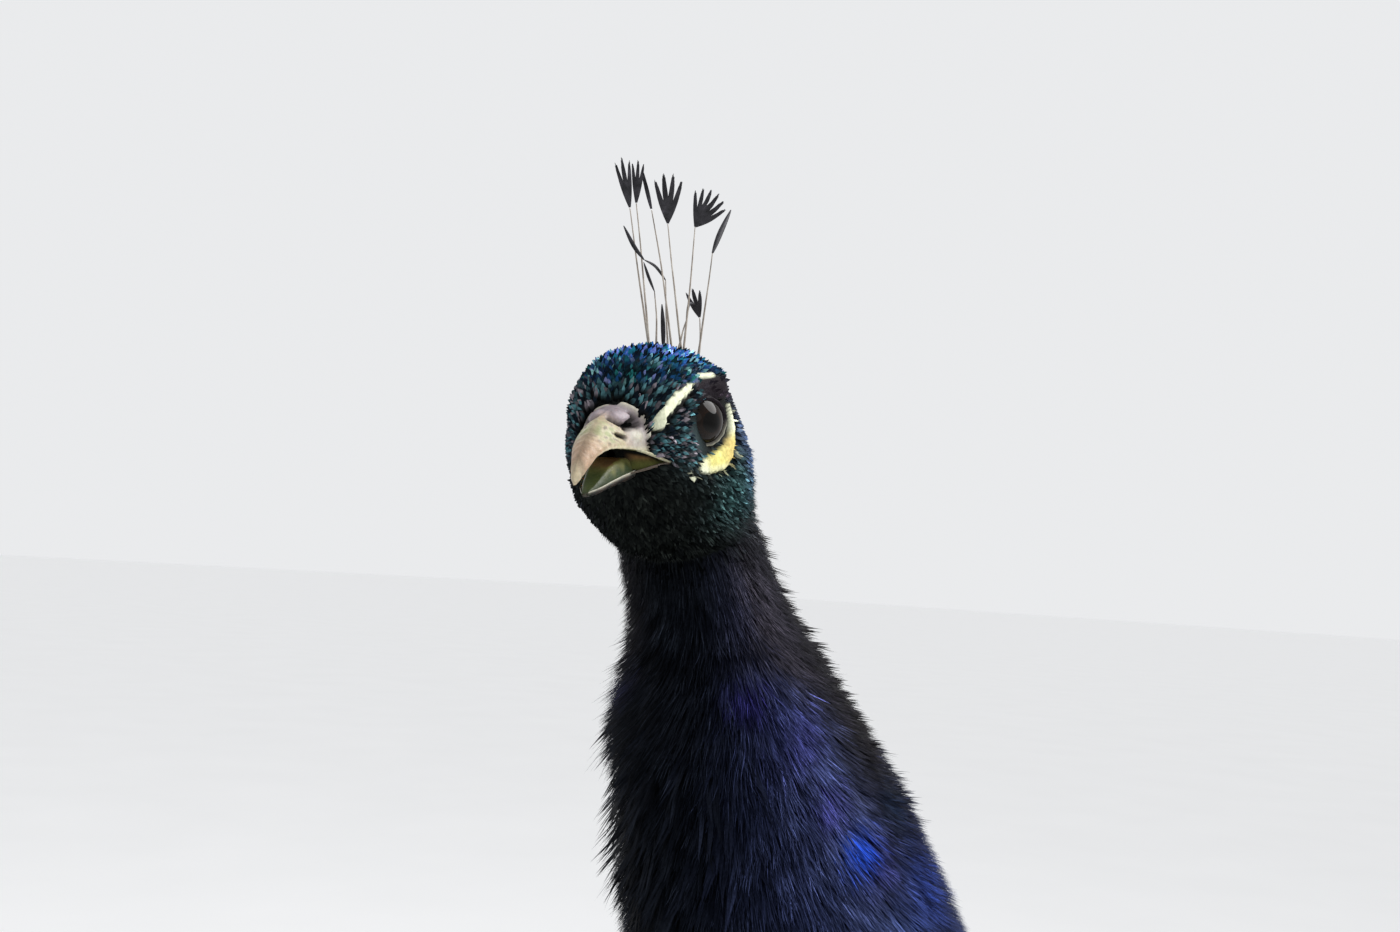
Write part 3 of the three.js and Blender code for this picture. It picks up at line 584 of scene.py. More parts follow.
def eyeAxes(side):
    # the way the eye looks, forward in its face and up, as unit vectors of the turned bird
    def turned(f, u, s):
        tip = turnHead(headToBird(eyeSpec["forward"] + f, eyeSpec["up"] + u, side * (eyeSpec["side"] + s)))
        return tip - turnHead(headToBird(eyeSpec["forward"], eyeSpec["up"], side * eyeSpec["side"]))
    look = unit(turned(sin(lookSpec["outFrom"]), 0.0, cos(lookSpec["outFrom"])))
    rise = unit(turned(0.0, 1.0, 0.0))
    fore = unit(np.cross(rise, look)) * (1 if side < 0 else -1)
    return look, fore, rise


def eyeCentre(side):
    return turnHead(headToBird(eyeSpec["forward"], eyeSpec["up"], side * eyeSpec["side"]))


def onEye(side, polar, around, radius):
    # radius * (cos polar * look + sin polar * (cos around * fore + sin around * rise)) from the eye's centre
    look, fore, rise = eyeAxes(side)
    ring = np.cos(around)[..., None] * fore + np.sin(around)[..., None] * rise
    return (eyeCentre(side) + radius[..., None]
            * (np.cos(polar)[..., None] * look + np.sin(polar)[..., None] * ring))


def eyeBall(side):
    rows, count = lookSpec["ballGrid"]
    polar, around = ringGrid(np.linspace(0.004, pi - 0.004, rows), count)
    radius = eyeSpec["radius"] * (0.985 + lookSpec["cornea"] * bump(polar, 0, 0.62))
    verts, faces = shellFrom(onEye(side, polar, around, radius), flip=side > 0)
    shade = np.append(polar.ravel(), [0, pi]) / pi
    return verts, faces, np.repeat(shade[:, None], 3, 1)


eyeFinish = Finish("eyeGloss", Roughness=0.05, IOR=1.45, Specular_IOR_Level=0.15)
irisGrain = eyeFinish.remap(eyeFinish.noise(2600, 2), 0.35, 0.65, 0.6, 1.3)
irisColour = eyeFinish.ramp(eyeFinish.redOf("fromPupil"), [
    (0.0, (0.001, 0.0008, 0.0006)), (0.105, (0.001, 0.0008, 0.0006)), (0.12, (0.008, 0.0035, 0.0018)),
    (0.19, (0.005, 0.0024, 0.0014)), (0.23, (0.003, 0.002, 0.0015)), (1.0, (0.02, 0.015, 0.012)),
])
eyeFinish.link(eyeFinish.blend(1.0, irisColour, irisGrain, "MULTIPLY"), "Base Color")

for sideName, side in (("left", 1), ("right", -1)):
    *ball, shade = eyeBall(side)
    addPiece(f"eyeball_{sideName}", ball, eyeFinish.material, "eyes", f"eye_{sideName}",
             colours={"fromPupil": shade})


def eyeLid(side):
    # a band over the ball: from the opening's edge, over a low ridge, down under the skin
    rows, count = lookSpec["lidGrid"]
    across, around = ringGrid(np.linspace(0, 1, rows), count)
    edge = mix(lookSpec["opening"], lookSpec["corner"], np.cos(around) ** 4)
    polar = mix(edge, lookSpec["lidEnd"], across)
    ridge = (bump(across, 0.14, 0.10) + 0.4 * bump(across, 0.44, 0.14)
             + 0.2 * np.cos(around * 17) * bump(across, 0.3, 0.25))
    lift = 0.12 + lookSpec["lidHeight"] * ridge * (1 - 0.25 * across) - 1.6 * smooth((across - 0.7) / 0.3)
    lift = np.where(across == 0, -0.25, lift)
    p = onEye(side, polar, around, eyeSpec["radius"] + lift)
    faces = gridFaces(rows, count)
    pale = bump(across, 0.14, 0.07) * smooth((-np.sin(around) + 0.15) / 0.5)
    tint = lay(np.broadcast_to(colour("brow"), p.shape), np.array((0.34, 0.33, 0.26)), 0.85 * pale)
    return p.reshape(-1, 3), [faces if side < 0 else faces[:, ::-1]], tint.reshape(-1, 3)


lidFinish = markedFinish("lidSkin", (1200, 4, 0.8, 1.15), (1800, 3, 0.0002, 0.5), Roughness=0.45,
                         Specular_IOR_Level=0.05)
lidParts = [eyeLid(1), eyeLid(-1)]
addPiece("eyelids", joinShells([part[:2] for part in lidParts]), lidFinish.material, "face_feathers",
         colours={"marking": np.vstack([part[2] for part in lidParts])})


print("bill")
# ---- bill: two lofts with sections by formula; nostrils and edges are swellings of the surface
billSpec = {
    "rows": 130, "around": 120, "lowerRows": 90, "lowerAround": 96,
    # culmen forward, up, edge forward, up, half width, vault: each section leans from the edge to the culmen
    "upper": [
        (14, 2.6, 14, -8.8, 8.6, 0.6), (20, 4.5, 19, -8.5, 8.6, 0.6), (25.3, 4.7, 25, -6.9, 8.6, 0.6),
        (30.8, 3.3, 30, -5.5, 7.4, 0.6), (36.8, 1.4, 35.5, -4.8, 5.9, 0.6),
        (42.5, -2.0, 39.8, -4.7, 4.4, 0.6), (46.8, -5.5, 43.4, -6.0, 3.1, 0.6),
        (49.3, -8.9, 46.2, -8.4, 2.1, 0.4), (50.3, -11.0, 48.5, -10.8, 1.1, 0.2),
        (50.0, -12.2, 49.5, -12.1, 0.35, 0.05),
    ],
    # forward, edge height, keel height, half width, height of the tongue between the edges
    "lower": [
        (14, -10.4, -13.4, 7.6, 2.0), (19, -10.2, -13.2, 7.2, 2.4), (25, -10.6, -13.6, 6.3, 3.0),
        (30, -11.3, -14.0, 5.3, 3.4), (35, -12.3, -14.6, 4.1, 3.0), (40, -13.6, -15.4, 2.7, 1.4),
        (43.6, -14.6, -15.5, 0.9, 0.2),
    ],
    "nostril": {"dome": (29.9, 2.2), "domeSize": (2.2, 1.35), "slit": ((26.9, 0.8), (31.8, -0.5)),
                "knob": (28.6, -2.3), "pocket": ((35.6, -1.8), (33.2, -2.7))},
    # forward, up along the raised edge behind the nostril
    "rim": [(25.9, 4.9), (24.9, 3.0), (24.5, 0.6), (25.3, -2.6)],
}
hornColours = {
    "tan": (0.35, 0.24, 0.16), "cream": (0.38, 0.36, 0.24), "lilac": (0.21, 0.175, 0.19),
    "moss": (0.21, 0.24, 0.10), "dark": (0.008, 0.006, 0.005), "palate": (0.20, 0.20, 0.065),
    "gum": (0.13, 0.060, 0.032), "mouthGreen": (0.026, 0.044, 0.010), "pale": (0.42, 0.40, 0.32),
    "bark": (0.060, 0.044, 0.030), "shadedLowerHorn": (0.006, 0.006, 0.005), "umber": (0.16, 0.10, 0.07),
}


def horn(name):
    return np.array(hornColours[name])


def nostrilReach(f, u):
    # 0 at the middle of the flap over the nostril, 1 at its edge
    n = billSpec["nostril"]
    return np.hypot((f - n["dome"][0]) / n["domeSize"][0], (u - n["dome"][1]) / n["domeSize"][1])


def nostrilPush(f, u):
    # a swollen flap in a moat, deepest under its back, a knob and a pocket below, a raised edge behind
    n = billSpec["nostril"]
    reach = nostrilReach(f, u)
    dome = smooth(1.5 - reach)
    moat = bump(reach, 1.55, 0.36) * smooth((n["dome"][1] + 1.4 - u) / 1.2)
    slit = strokeMask(f, u, *n["slit"], lambda k: 1.15 - 0.6 * k, 0.7)
    pocket = strokeMask(f, u, *n["pocket"], lambda k: 0.5 + 0 * k, 0.6)
    moat = np.maximum(np.maximum(0.75 * moat, slit), 0.7 * pocket)
    knob = bump(f, n["knob"][0], 1.5) * bump(u, n["knob"][1], 0.9)
    corners = billSpec["rim"]
    rim = np.max([strokeMask(f, u, corners[i], corners[i + 1], lambda k: 0.6 + 0 * k, 0.9)
                  for i in range(3)], 0)
    return dome, moat, knob, rim


def upperBill():
    # outer half: edge + (culmen - edge) cos(a)^1.2, side = width sin(a)^1.3; inner half: a low vault
    steps = len(billSpec["upper"]) - 1
    k, a = ringGrid(np.linspace(0, steps, billSpec["rows"]), billSpec["around"])
    culmenF, culmenU, edgeF, edgeU, width, vault = np.moveaxis(tableAt(billSpec["upper"], k), -1, 0)
    rise = np.cos(a)
    outside = rise > 0
    roof = smooth((k - 1.5) / 1.7)  # round at the root, a roof from the nostrils on
    climb = np.abs(rise) ** mix(0.7, 1.2, roof)
    f = np.where(outside, edgeF + (culmenF - edgeF) * climb, edgeF)
    u = np.where(outside, edgeU + (culmenU - edgeU) * climb, edgeU + vault * np.abs(rise) ** 0.7)
    s = width * np.sign(np.sin(a)) * np.abs(np.sin(a)) ** np.where(outside, mix(0.8, 1.35, roof), 1.0)
    dome, moat, knob, rim = nostrilPush(f, u)
    onSide = smooth(rise / 0.15 + 0.5) * smooth(np.abs(s) / 1.2 - 0.5)
    lip = bump(rise, 0.03, 0.12) * smooth((46 - f) / 5)
    rimHeight = np.where(s > 0, 1.0, 0.3)  # higher on the left
    push = (onSide * (0.9 * dome * (1 - moat) - 1.2 * moat - 2.6 * moat ** 3 + 0.5 * knob + rimHeight * rim)
            + 0.22 * lip)
    push = np.maximum(push, -0.7 * np.abs(s))
    push += 0.06 * np.sin(f * 3.1 + 1.5 * np.sin(u * 0.9)) * smooth((f - 33) / 4) * outside
    away = unit(np.stack([s, u - (culmenU + edgeU) / 2], -1))
    s, u = s + push * away[..., 0], u + push * away[..., 1]
    tint = mix(horn("lilac"), horn("tan"), smooth((f - 29) / 8)[..., None])
    blotch = 0.5 + 0.5 * np.sin(f * 1.9 + 2 * np.sin(u * 1.3)) * np.sin(u * 2.3 + 1.7 * np.sin(f * 0.8))
    middle = bump(f, 37.5, 4.2) * bump(u, -1.2, 3.4) * outside
    base = onSide * bump(f, 28.6, 2.6) * bump(u, -2.6, 2.2)
    # painted shade: a darker band along the culmen towards the tip, laid in bark brown below
    ridge = bump(s, 0.3, 1.0) * smooth((f - 33) / 8) * outside * smooth((49.8 - f) / 2.5)
    tint = painted(tint, [
        (horn("cream"), 0.85 * middle),
        (horn("moss"), 0.9 * smooth(blotch * 1.6 - 0.35) * middle),
        (horn("bark"), 0.8 * smooth((0.24 - blotch) / 0.14) * middle),
        (horn("pale"), 0.8 * base),
        (horn("cream"), 0.6 * smooth((f - 46.5) / 3)),
        (horn("bark"), 0.5 * ridge),
        (horn("lilac") * 1.1, onSide * smooth(1.3 * dome)),
        (horn("pale"), onSide * np.maximum(0.8 * smooth(1.2 * knob), 0.9 * rim)),
        # painted shade: the moat round the nostril's flap, its slit and the pocket below are near-black
        (horn("dark"), 0.95 * onSide * smooth(1.7 * moat)),
        (horn("cream"), 0.85 * lip),
        (mix(horn("gum"), horn("palate"), smooth((-rise - 0.2) / 0.25)[..., None]), smooth(-rise / 0.12)),
    ])
    return *shellFrom(turnHead(headToBird(f, u, s))), shellTint(tint)


def lowerBill():
    # outer half: a keel; inner half: the tongue, swollen up between two thin raised edges, painted pale as a
    # painted highlight
    steps = len(billSpec["lower"]) - 1
    k, a = ringGrid(np.linspace(0, steps, billSpec["lowerRows"]), billSpec["lowerAround"])
    f, edge, keel, width, tongue = np.moveaxis(tableAt(billSpec["lower"], k), -1, 0)
    rise = np.cos(a)
    inMouth = edge - 0.5 * bump(rise, 0.3, 0.15) + tongue * smooth((rise - 0.3) / 0.5)
    u = np.where(rise > 0, inMouth, edge - (edge - keel) * np.abs(rise) ** 0.9)
    lip = bump(rise, 0.0, 0.10)
    s = width * np.sin(a) * np.where(rise > 0, 1 - 0.12 * np.abs(rise), 1)
    u = u + 0.3 * lip
    # painted shade: the lower mandible's outside is near-black, with a faint umber wave
    tint = mix(horn("shadedLowerHorn"), horn("umber"), (0.5 + 0.5 * np.sin(f * 1.3))[..., None] * 0.15)
    tint = painted(tint, [
        (horn("mouthGreen"), smooth(rise / 0.12)),
        (horn("palate") * 0.7, smooth((rise - 0.46 + 0.06 * np.sin(f * 1.7)) / 0.2)),
        (horn("gum"), 0.9 * smooth((rise - 0.72 + 0.05 * np.sin(f * 2.3)) / 0.14) * smooth((37 - f) / 3)),
        # painted shade: the tongue turns dark green towards the mouth's corner and towards its front
        (horn("mouthGreen") * 0.7, 0.9 * smooth(rise / 0.1) * smooth((np.abs(f - 30) - 3.5) / 5)),
        # painted highlight along the edges
        (horn("pale"), lip),
    ])
    return *shellFrom(turnHead(headToBird(f, u, s))), shellTint(tint)


def tubeAlong(path, radius, around=10, flat=1.0, face=(0, 0, 1)):
    # a round profile carried along a path of points (n, 3) in the turned bird, flattened along face
    tangent = unit(np.gradient(path, axis=0))
    side = unit(np.cross(tangent, np.array(face, float)))
    up = unit(np.cross(side, tangent))
    a = np.linspace(0, 2 * pi, around, endpoint=False)
    ring = np.cos(a)[None, :, None] * side[:, None] + flat * np.sin(a)[None, :, None] * up[:, None]
    return path[:, None] + np.asarray(radius)[:, None, None] * ring


def gapeLip(side, points, radius, tint):
    # a pale lip that carries the bill's edge back to the corner of the mouth
    k = np.linspace(0, len(points) - 1, 30)
    f, u, s = tableAt(points, k).T
    path = turnHead(headToBird(f, u, side * s))
    swell = np.sin(np.clip(k / (len(points) - 1) * 1.15 + 0.32, 0, pi))
    verts, faces = shellFrom(tubeAlong(path, radius * swell + 0.05))
    return verts, faces, np.broadcast_to(horn(tint) * 0.9, (len(verts), 3))


gapeSpec = {
    "upper": [(29.4, -5.6, 7.1), (27.4, -6.1, 8.3), (24.2, -7.3, 10.3), (20.2, -8.9, 12.4)],
    "lower": [(29.0, -11.1, 5.6), (27.0, -10.6, 7.3), (24.2, -9.8, 9.7), (20.4, -9.1, 12.2)],
}
billFinish = markedFinish("billHorn", (700, 5, 0.72, 1.16, 0.65), (1300, 4, 0.00025, 0.5), Roughness=0.42,
                          Specular_IOR_Level=0.28, Subsurface_Weight=0.03, Subsurface_Scale=0.004)
billFinish.link(billFinish.remap(billFinish.noise(1100, 3), 0.3, 0.7, 0.34, 0.55), "Roughness")

for name, surface, line, radius, lipTint in (
    ("bill_upper", upperBill, "upper", 0.46, "cream"),
    ("bill_lower", lowerBill, "lower", 0.42, "bark"),
):
    parts = [surface()] + [gapeLip(side, gapeSpec[line], radius, lipTint) for side in (1, -1)]
    addPiece(f"{name}_horn", joinShells([part[:2] for part in parts]), billFinish.material, "bill", name,
             colours={"marking": np.vstack([part[2] for part in parts])})


# ---- the coat: tufts and small vanes laid on the body's surface, each following its lie
coatUvCell = 0.003  # a tuft's patch on the unwrapped skin


def strandTuft(strands, spread, segments=3):
    # a template of thin ribbons: along (0..1), across (-1..1 of the tuft), half width and strand number
    along, across, half, strand, faces = [], [], [], [], []
    for k in range(strands):
        start = len(along)
        lane = (k + 0.5) / strands * 2 - 1
        for j in range(segments):
            share = j / segments
            for edge in (-1, 1):
                along.append(share)
                across.append(lane * (0.55 + spread * share))
                half.append(edge * (1 - 0.55 * share))
                strand.append(k)
        along.append(1.0)
        across.append(lane * (0.55 + spread))
        half.append(0.0)
        strand.append(k)
        for j in range(segments - 1):
            a = start + 2 * j
            faces += [(a, a + 1, a + 3), (a, a + 3, a + 2)]
        a = start + 2 * (segments - 1)
        faces.append((a, a + 1, a + 2))
    return {"along": np.array(along), "across": np.array(across), "half": np.array(half),
            "strand": np.array(strand), "strands": strands, "faces": np.array(faces)}


def vaneLeaf(columns, rows, tip=0.55, root=0.35):
    # a template of one leaf-shaped vane: rows along it, columns across, closed to a point at its tip
    share = np.linspace(0, 1, rows)
    widening = root + (1 - root) * np.sin(np.clip(share / tip, 0, 1) * pi / 2)
    closing = np.sqrt(np.clip(1 - np.clip((share - tip) / (1 - tip), 0, 1) ** 2.2, 0.02, 1))
    outline = widening * closing
    along = np.repeat(share, columns)
    across = (outline[:, None] * np.linspace(-1, 1, columns)[None, :]).ravel()
    quads = gridFaces(rows, columns, closed=False)
    return {"along": along, "across": across, "half": 0 * along, "strand": np.zeros(len(along), int),
            "strands": 1, "faces": halved(quads)}


def metricOf(surface, t, a):
    # millimetres of surface for a unit step along it and for a unit step across it
    step = 1e-3
    here = surface["point"](t, a, 0.0)
    return (np.linalg.norm(surface["point"](t + step, a, 0.0) - here, axis=-1) / step,
            np.linalg.norm(surface["point"](t, a + step, 0.0) - here, axis=-1) / step)


def rootsOn(surface, tLow, tHigh, spacing, across=(0, 2 * pi)):
    # staggered rows a tuft's spacing apart, each row with equal shares of its own length across;
    # spacing is one number, or places along and the spacing at each
    fine = np.linspace(tLow, tHigh, 400)
    middle = np.full(400, across[0] + 0.25 * (across[1] - across[0]))
    stepMm = metricOf(surface, fine, middle)[0] * (fine[1] - fine[0])
    gap = np.interp(fine, *spacing) if isinstance(spacing, tuple) else np.full(400, float(spacing))
    rowNumber = np.cumsum(stepMm / (gap * 0.87))
    rowsT = np.interp(np.arange(0.5, rowNumber[-1]), rowNumber, fine)
    ring = np.linspace(*across, 90)
    steps = metricOf(surface, rowsT[:, None], ring[None, :])[1]
    counts = steps.mean(1) * (across[1] - across[0]) / np.interp(rowsT, fine, gap)
    counts = np.maximum(2, counts.astype(int))
    t = np.repeat(rowsT, counts)
    row = np.repeat(np.arange(len(counts)), counts)
    number = np.arange(counts.sum()) - np.repeat(np.cumsum(counts) - counts, counts)
    share = (number + 0.25 + 0.5 * (row % 2)) / np.repeat(counts, counts)
    travelled = np.concatenate([[0], np.cumsum((steps.mean(0)[1:] + steps.mean(0)[:-1]) / 2)])
    a = np.interp(share, travelled / travelled[-1], ring)
    local = np.interp(t, fine, gap)
    rateT, rateA = metricOf(surface, t, a)
    t = t + rng.uniform(-0.35, 0.35, len(t)) * local / rateT
    a = a + rng.uniform(-0.35, 0.35, len(a)) * local / np.maximum(rateA, 1)
    return np.clip(t, tLow, tHigh), a


def layOn(surface, t, a, template, long, wide, strandHalf=0.2, proud=0.3, curl=0.0, sway=0.12, loose=0.25,
          camber=0.0, turned=0.0):
    # each vertex goes along * length down the lie and across * width to its side, raised to `proud`
    # over the solids, with the tip lifted by curl; sway turns whole tufts, loose shifts single strands
    count = len(t)
    rateT, rateA = metricOf(surface, t, a)
    lane = template["strand"]
    turn = (turned + rng.normal(0, sway, count))[:, None]
    wander = rng.normal(0, loose, (count, template["strands"]))[:, lane]
    reach = ((1 - 0.35 * rng.random((count, template["strands"])))[:, lane] if template["strands"] > 1
             else 1.0)
    s = template["along"][None, :]
    down = long[:, None] * s * reach
    out = (wide[:, None] * (template["across"][None, :] + wander * np.abs(s) ** 1.3)
           + strandHalf * template["half"][None, :])
    down, out = down * np.cos(turn) - out * np.sin(turn), down * np.sin(turn) + out * np.cos(turn)
    tt = np.clip(t[:, None] + surface["lie"] * down / rateT[:, None], surface["low"], surface["high"])
    aa = a[:, None] + out / np.maximum(rateA, 1)[:, None]
    deep = surface["depth"](tt)
    lift = ((rng.normal(0, 0.25, (count, template["strands"]))[:, lane] + 1) if template["strands"] > 1
            else 1.0)
    curl = np.broadcast_to(curl, (count,))[:, None]
    proud = np.broadcast_to(proud, (count,))[:, None]
    rise = -deep * np.clip(1 - s, 0, 1) ** 0.8 + (proud * s + curl * np.clip(s, 0, None) ** 2.4) * lift
    rise -= camber * wide[:, None] * template["across"][None, :] ** 2
    return surface["point"](tt, aa, rise)


def rootUvs(t, a, template, tLow, tHigh, across=(0, 2 * pi)):
    # each tuft's patch at its root's place on the surface unrolled: across it, and along it
    s, w = template["along"], template["across"]
    u = (0.01 + 0.98 * np.clip((a - across[0]) / (across[1] - across[0]), 0, 1)[:, None]
         + coatUvCell * 0.5 * np.clip(w, -1, 1)[None, :])
    v = 0.01 + 0.98 * ((t - tLow) / (tHigh - tLow))[:, None] + coatUvCell * (s - 0.5)[None, :]
    return np.stack([np.clip(u, 0, 1), np.clip(v, 0, 1)], -1)


body = {"point": lambda t, a, grow: turnHead(bodyPoint(t, a, grow)), "lie": -1, "low": 0.02,
        "high": lastRow - 0.01, "depth": coatDepth}


def repeatFaces(template, count):
    return repeated(template["faces"], count, len(template["along"]))


def featherShade(template, count, tint, rootShade=0.35, spread=0.25, tipBright=1.0):
    # the tuft's own random brightness, with painted shade that darkens it towards its root, where it lies
    # under its neighbours
    s = template["along"][None, :]
    own = np.exp(rng.normal(0, spread, count))[:, None]
    each = np.exp(rng.normal(0, spread * 0.7, (count, template["strands"])))[:, template["strand"]]
    light = own * each * mix(rootShade, tipBright, smooth(s * 1.4))
    return tint[:, None, :] * light[..., None]


def coatFinish(name, metallic, roughness, **more):
    values = {"Metallic": metallic, "Roughness": roughness, "Specular_IOR_Level": 0.08, **more}
    return markedFinish(name, (1400, 3, 0.7, 1.3), (2240, 2, 0.00012, 0.5), **values).material


headCoatFinish = coatFinish("headFeathers", 0.6, 0.38, Specular_Tint=(0.35, 0.4, 0.5, 1))
neckCoatFinish = coatFinish("neckFeathers", 0.4, 0.45, Specular_Tint=(0.2, 0.24, 0.36, 1))


def eyeClear(t, a, margin):
    # False where a tuft would hang over the eye's opening
    p = turnHead(bodyPoint(t, a))
    clear = np.ones(len(t), bool)
    for side in (1, -1):
        look = eyeAxes(side)[0]
        away = p - eyeCentre(side)
        distance = np.linalg.norm(away, axis=-1)
        polar = np.arccos(np.clip((away @ look) / distance, -1, 1))
        clear &= ~((polar < lookSpec["opening"] + margin) & (distance < eyeSpec["radius"] + 7))
    return clear


fleckSheenSpec = {
    # share of the feathers, colour: on top of the crown, low on the crown and forehead, and on the lores;
    # the top's bright cyan and blue flecks carry painted sky sheen as well as their own colour
    "top": [(0.10, (0.20, 0.44, 0.52)), (0.16, (0.13, 0.19, 0.56)), (0.18, (0.025, 0.11, 0.40)),
            (0.16, (0.010, 0.13, 0.20))],
    "low": [(0.07, (0.16, 0.34, 0.34)), (0.05, (0.13, 0.16, 0.36)), (0.16, (0.010, 0.085, 0.085)),
            (0.20, (0.006, 0.035, 0.10))],
    "face": [(0.12, (0.17, 0.15, 0.17)), (0.14, (0.06, 0.15, 0.17)), (0.18, (0.060, 0.056, 0.064)),
             (0.24, (0.022, 0.050, 0.058))],
}


def colourUnder(t, a, long):
    # the body's marking where the tuft's visible part lies, a little down the lie from its root
    t = np.clip(t - 0.6 * long / metricOf(body, t, a)[0], body["low"], body["high"])
    return bodyColour(t, a, bodyPoint(t, a))


def scatterColour(tint, t, p):
    # each feather takes one of its zone's colours by its own chance, or keeps the dark ground
    f, u, side = birdToHead(p)
    onHead = smooth((t - headRow - 1) / 1.5)
    # the top of the crown, where the flecks carry painted sky sheen
    top = smooth((u - 11.5) / 3.5) * smooth((22 - f) / 8)
    low = smooth((u - 6.5 - 0.15 * np.abs(side)) / 3) * (1 - top) * smooth((27 - f) / 4)
    face = smooth((f - 3) / 5) * (1 - top) * (1 - low) * smooth((u + 10.5) / 3)
    for zone, weight in (("top", top), ("low", low), ("face", face)):
        share, colours = zip(*fleckSheenSpec[zone])
        colours = np.array(colours + ((0.003, 0.006, 0.010),))
        pick = np.searchsorted(np.cumsum(share), rng.random(len(t)))
        tint = lay(tint, colours[pick], 0.95 * weight * onHead)
    return tint


def hidesBare(t, a, long):
    # True where a tuft's body would lie over a bare patch, the brow or the mouth
    rate = metricOf(body, t, a)[0]
    hides = np.zeros(len(t), bool)
    for share in (0.3, 0.65, 1.0):
        p = bodyPoint(t - share * long / rate, a)
        f, u, side = birdToHead(p)
        stripe, crescent = bareMasks(f, u, side, 0.55)
        over = np.maximum(np.maximum(stripe, crescent), mouthWedge(f, u))
        hides |= (over > 0.55) & (np.abs(side) > 8)
    return hides


def headCoat():
    # tiny curled scales: longest on the nape and chin, shortest round the eye and bill
    tLow, tHigh = headRow - 1.4, lastRow - 0.1
    template = vaneLeaf(3, 5, tip=0.72, root=0.4)
    t, a = rootsOn(body, tLow, tHigh, ([tLow, headRow + 3, headRow + 6, tHigh], [1.5, 1.2, 0.98, 0.8]))
    p = bodyPoint(t, a)
    f, u, side = birdToHead(p)
    stripe, crescent = bareMasks(f, u, side)
    bare = np.maximum(stripe, crescent) * smooth((np.abs(side) - 4) / 2)
    keep = eyeClear(t, a, radians(8) * rng.uniform(-0.9, 1.3, len(t))) & (mouthWedge(f, u) < 0.3)
    keep &= rng.random(len(t)) < smooth((t - tLow) / 2.6)  # thins out among the neck's strands
    keep &= ~((browMask(f, u) > rng.uniform(0.3, 1.15, len(t))) & (np.abs(side) > 9))
    keep &= ~((np.hypot((f + 16) / 7.5, side / 5) < 1) & (u > 8))  # where the crest grows
    # none under the bill's root
    keep &= ~((f > 22) & (u > -7.5) & (u < 5.5) & (np.abs(side) < billHalf(f, u) + 0.5))
    # bare between the eye and the crescent
    keep &= ~((np.abs(f + 5.5) < 4.2) & (np.abs(u) < 6) & (np.abs(side) > 9))
    t, a, p, f, u, side, bare = (v[keep] for v in (t, a, p, f, u, side, bare))
    crown = smooth((u - 5) / 4)
    cheek = (1 - crown) * smooth((f + 6) / 8)
    forehead = smooth((f - 12) / 6) * smooth((u + 1) / 3)
    chin = smooth((-u - 12) / 5) * smooth((f + 4) / 8) * smooth((t - headRow - 1.5) / 3)
    long = mix(2.6, 1.5, crown) * mix(1, 0.62, cheek * (1 - chin)) * mix(1, 1.1, forehead)
    long = long * rng.uniform(0.75, 1.25, len(t))
    long *= mix(1, 0.25, smooth(bare * 2)) * mix(1, 1.3, chin)
    keep = (~(hidesBare(t, a, long) & (bare < 0.4))
            & ~((bare > 0.4) & ((u > -4) | (f > 12.2)) & (rng.random(len(t)) < 0.9)))
    t, a, p, f, u, side, bare = (v[keep] for v in (t, a, p, f, u, side, bare))
    long, crown, forehead, chin = (v[keep] for v in (long, crown, forehead, chin))
    wide = long * mix(mix(0.22, 0.40, crown), 0.3, forehead)
    beside = smooth((np.abs(side) - 9) / 5) * crown
    curl = (mix(mix(0.25, 0.85, crown), 0.6, forehead) * rng.uniform(0.2, 1.7, len(t)) * mix(1, 0.3, bare)
            * mix(1, 0.45, beside))
    curl += 0.7 * chin * rng.uniform(0.4, 1.4, len(t))
    verts = layOn(body, t, a, template, long, wide, proud=0.15 + 0.3 * chin, curl=curl, sway=0.4,
                  camber=0.12)
    shade = featherShade(template, len(t), bodyColour(t, a, p), 0.06, 0.45, 1.2)
    fleck = scatterColour(bodyColour(t, a, p), t, p)[:, None] * rng.uniform(0.7, 1.25, len(t))[:, None, None]
    tipped = (smooth((template["along"] - 0.42) / 0.3)[None, :, None]
              * (crown + cheekFlecks(f, u) > 0.05)[:, None, None])
    tint = mix(shade, np.broadcast_to(fleck, shade.shape), tipped)
    plain = np.broadcast_to(bodyColour(t, a, p)[:, None], shade.shape)
    tint = mix(tint, plain, smooth(bare * 1.5)[:, None, None])
    return verts, repeatFaces(template, len(t)), rootUvs(t, a, template, tLow, tHigh), tint, None


def billHalf(f, u):
    # the bill's own half width near its root: (9.2 - 0.28 (f - 25)) (1 - climb^2.4)^0.5
    climb = np.clip((u + 7.0) / 12.0, 0, 1)
    return (9.2 - 0.28 * np.maximum(f - 25, 0)) * (1 - climb ** 2.4) ** 0.5


def cheekFlecks(f, u):
    # where the lores and forehead carry flecks
    return smooth((f - 3) / 5) * smooth((u + 10.5) / 3)


